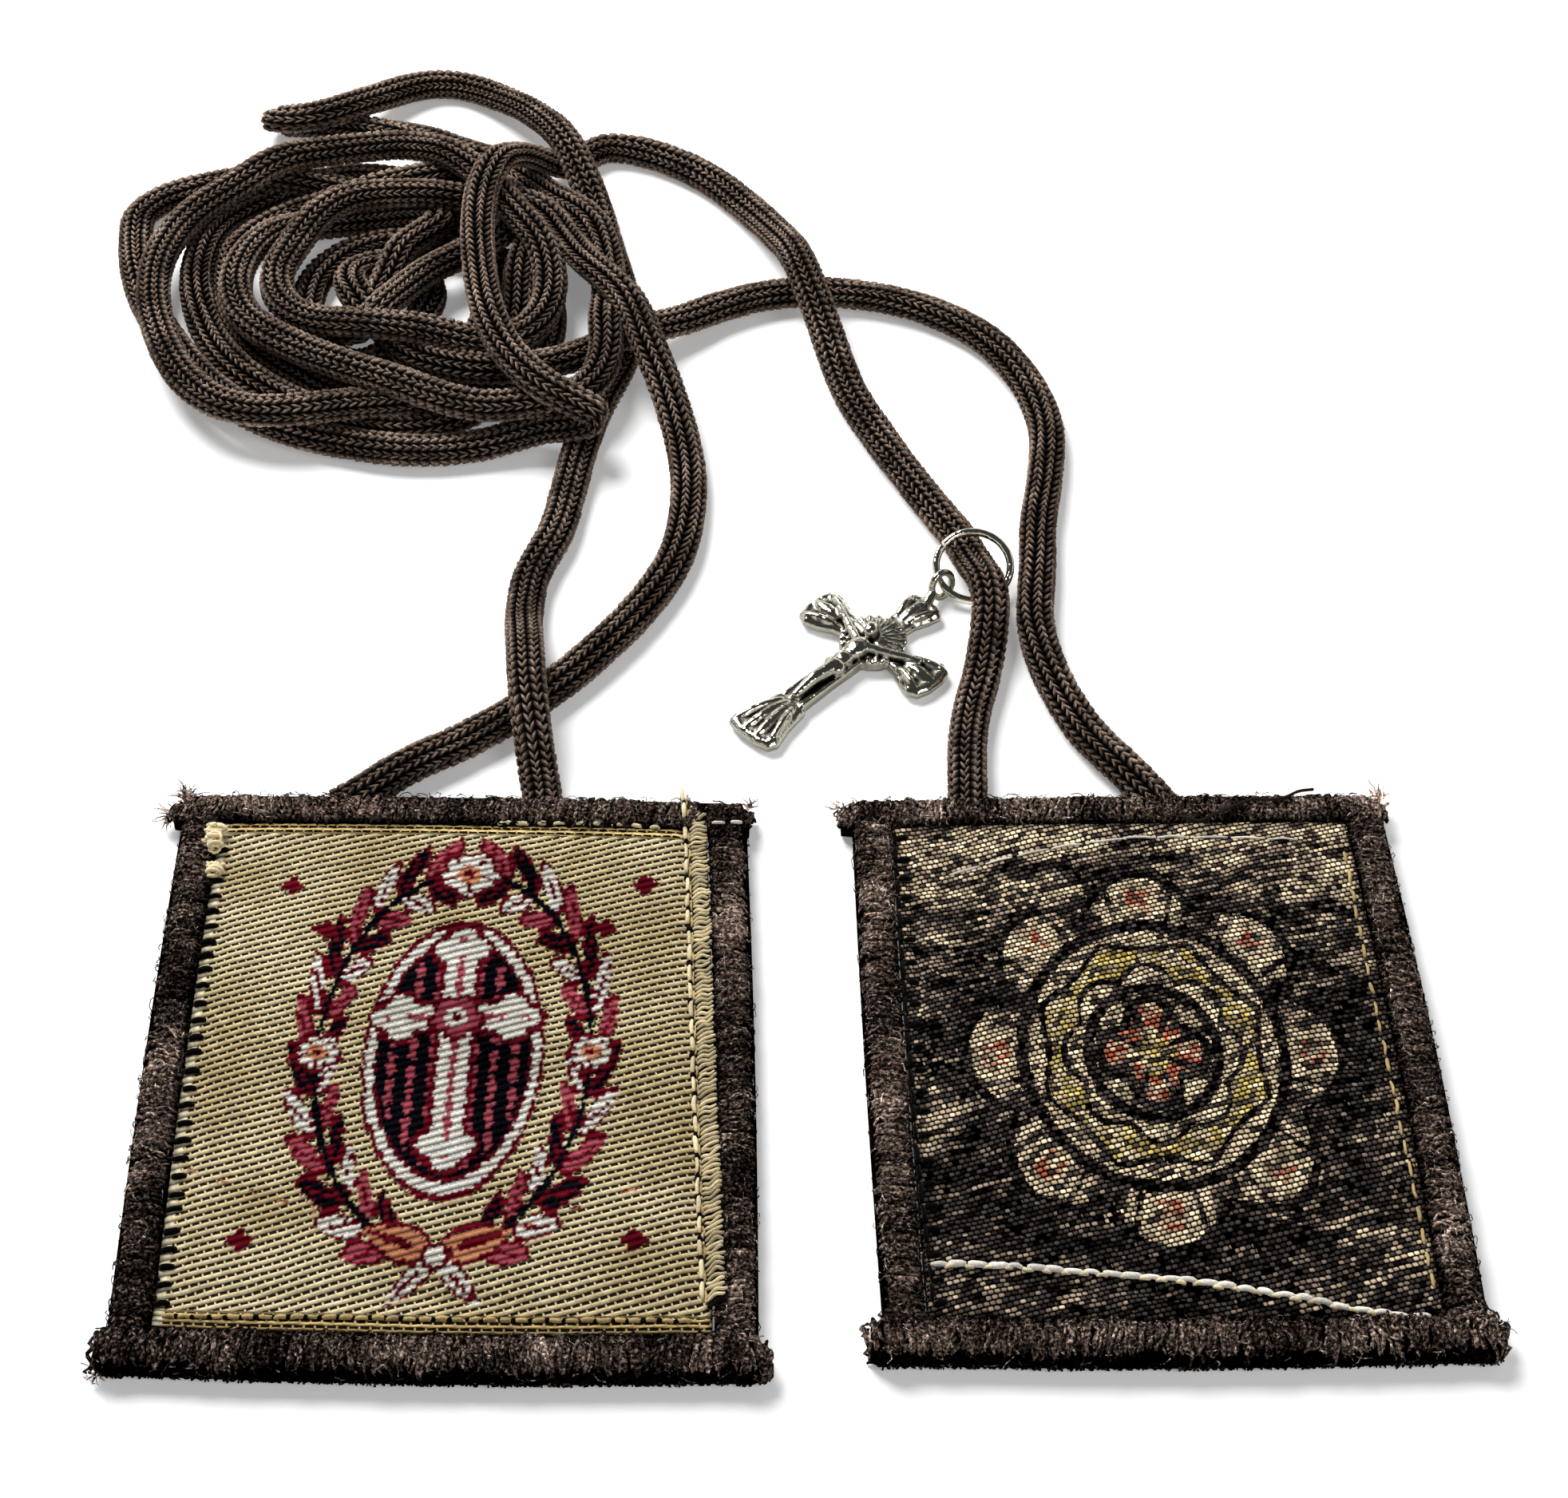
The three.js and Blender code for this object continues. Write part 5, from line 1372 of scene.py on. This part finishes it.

# The label's own selvedge, folded over at the right of the gold panel: a near-black strip carried
# along the seam, its colour painted shade that shows between the threads, and on it short cream
# threads laid across, each with a slight S bend.
selvedgeLook = {
    "wide": 1.5,
    "thick": 0.25,
    "pitch": 0.47,
    "thread": 0.155,
    "tone": "#d8c8a0",
    # near-black strip: painted shade between the cream threads
    "under": "#0e0a07",
}
seam = [(x + 0.35, y) for x, y in look["seamA"][1:]]
middle = alongPlan(seam, np.arange(0, 51.6, 0.4))[0]
x = middle[:, :1] + selvedgeLook["wide"] * np.linspace(0, 1, 6)
y = middle[:, 1:] + 0 * x
top = clothHeight("a", x, y) + 0.10
under = np.stack([x, y, top - selvedgeLook["thick"]], -1)[:, ::-1]
ring = np.concatenate([np.stack([x, y, top], -1), under], 1)
quads, tris = tubeFaces(*ring.shape[:2])
points = np.concatenate([ring.reshape(-1, 3), ring[0].mean(0, keepdims=True), ring[-1].mean(0, keepdims=True)])
strip = points, quads[:, [0, 3, 2, 1]], tris[:, [0, 2, 1]]  # turned so that it faces outwards
k = np.arange(int(51.0 / selvedgeLook["pitch"]))
middle = alongPlan(seam, 0.3 + k * selvedgeLook["pitch"] + 0.10 * (scatter(k, 1, 351) - 0.5))[0]
u = np.linspace(0, 1, 8)
start, end = 0.10 * scatter(k, 1, 352)[:, None], (0.92 + 0.16 * scatter(k, 1, 353))[:, None]
x = middle[:, :1] + selvedgeLook["wide"] * (start + (end - start) * u)
y = middle[:, 1:] + 0.13 * np.sin(2 * math.pi * u + 2.2 * softNoise(k / 2.0, 0, 354)[:, None])
y += (0.10 + 0.35 * scatter(k, 1, 357)[:, None]) * (u - 0.5)
z = clothHeight("a", x, y) + 0.12 + 0.16 * np.sin(math.pi * u)
radii = selvedgeLook["thread"] * (0.85 + 0.3 * scatter(k, 1, 355))[:, None]
radii = radii * np.array([0.7, 1, 1.05, 1.05, 1.05, 1.05, 1, 0.7])
tone = (0.55 + 0.6 * scatter(k, 1, 356))[:, None]
selvedge = yarnPiece("selvedgeA", [
    tinted(strip, linear(selvedgeLook["under"])[None]),
    tinted(tubes(np.stack([x, y, z], -1), radii, 6), linear(selvedgeLook["tone"]) * tone),
], threadMaterial)
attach(selvedge, "cloth")

print("threads made")


# Crucifix and jump ring

metalLook = {
    "crossCell": 0.15,  # mm between points of the cast surface
    "ringCell": 0.09,
    "crisp": 0.9,  # how much the cast relief is sharpened, as a share of its own depth
    "bright": "#ddd8c6",
    "recess": "#0a0806",
    "wall": 0.62,  # painted shade on the side walls, as a share of the recess tarnish
}


# A metal piece made again on an even mesh from a copy of the imported form with its points merged,
# then eased so that its edges are rounded as cast ones are. Recesses get a tarnish from 0 to 1:
# how far the mean of a point's neighbours stands out above it. Side walls get a share of the same
# darkening as painted shade, for the dark surroundings they reflect.
def castPiece(name, node, cell, rounds, crisp):
    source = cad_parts[node]
    work = bmesh.new()
    work.from_mesh(source.data)
    work.transform(source.matrix_world)
    bmesh.ops.remove_doubles(work, verts=work.verts, dist=0.000004)
    rough = bpy.data.meshes.new(name + "Rough")
    work.to_mesh(rough)
    work.free()
    piece = bpy.data.objects.new(name, rough)
    scene.collection.objects.link(piece)
    remesh = piece.modifiers.new("remesh", "REMESH")
    remesh.mode = "VOXEL"
    remesh.voxel_size = cell * mm
    shape = bpy.data.meshes.new_from_object(piece.evaluated_get(bpy.context.evaluated_depsgraph_get()))
    piece.modifiers.clear()
    piece.data = shape
    bpy.data.meshes.remove(rough)
    count = len(shape.vertices)
    co, ends = np.zeros(count * 3), np.zeros(len(shape.edges) * 2, int)
    shape.vertices.foreach_get("co", co)
    shape.edges.foreach_get("vertices", ends)
    co, ends = co.reshape(-1, 3), ends.reshape(-1, 2)
    a, b = np.concatenate([ends[:, 0], ends[:, 1]]), np.concatenate([ends[:, 1], ends[:, 0]])
    degree = np.maximum(np.bincount(a, minlength=count), 1)

    def around(values):
        return np.stack([np.bincount(a, values[b, k], minlength=count) / degree for k in range(values.shape[1])], 1)

    for turn in range(rounds):
        co += 0.5 * (around(co) - co)
    soft = co
    for turn in range(7):
        soft = around(soft)
    co = co + crisp * (co - soft)
    shape.vertices.foreach_set("co", co.ravel())
    shape.polygons.foreach_set("use_smooth", np.ones(len(shape.polygons), bool))
    shape.update()
    normals = np.zeros(count * 3)
    shape.vertex_normals.foreach_get("vector", normals)
    wide = co
    for turn in range(6):
        wide = around(wide)
    hollow = ((wide - co) * normals.reshape(-1, 3)).sum(1, keepdims=True) / (cell * mm)
    for turn in range(2):
        hollow = around(hollow)
    wall = metalLook["wall"] * smooth(0.7, 0.2, normals.reshape(-1, 3)[:, 2:]) * (crisp > 0)
    # the recess tarnish, and painted shade on the side walls
    pointColour(piece, "tarnish", np.repeat(np.maximum(smooth(-0.08, 0.36, hollow), wall), 3, axis=1))
    shape.materials.clear()
    shape.materials.append(metalMaterial)
    print(name, "triangles", 2 * len(shape.polygons))
    return piece


# Zinc alloy, cast and plated silver colour: mirror-bright high spots, black tarnish in the
# recesses and the same black painted on the side walls as shade, faint casting ripple.
metalMaterial = newMaterial("zincAlloyCastPlated", {"Metallic": 1.0}, [
    ("tarnish", "Attribute", {"attribute_name": "tarnish"}),
    ("place", "TexCoord", {}),
    ("clean", "Math", {"operation": "SUBTRACT", 0: 1.0, 1: "tarnish.Fac"}),
    ("bright", "VectorMath", {"operation": "SCALE", 0: linear(metalLook["bright"]).tolist(), "Scale": "clean"}),
    ("dull", "VectorMath", {"operation": "SCALE", 0: linear(metalLook["recess"]).tolist(), "Scale": "tarnish.Fac"}),
    ("colour", "VectorMath", {"operation": "ADD", 0: "bright", 1: "dull"}),
    ("rough", "MapRange", {"To Min": 0.10, "To Max": 0.6, "Value": "tarnish.Fac"}),
    ("ripple", "TexNoise", {"Scale": 900.0, "Detail": 2.0, "Vector": "place.Object"}),
    ("bump", "Bump", {"Strength": 0.6, "Distance": 0.0003, "Height": "ripple"}),
], {"Base Color": "colour", "Roughness": "rough", "Normal": "bump"})
for name, node, body, cell, rounds, crisp in (
    ("crucifixCast", "crucifix", "cross", metalLook["crossCell"], 2, metalLook["crisp"]),
    ("jumpRingWire", "jump_ring", "ring", metalLook["ringCell"], 3, 0.0),
):
    piece = castPiece(name, node, cell, rounds, crisp)
    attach(piece, body)
    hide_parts(node)
print("metal made")
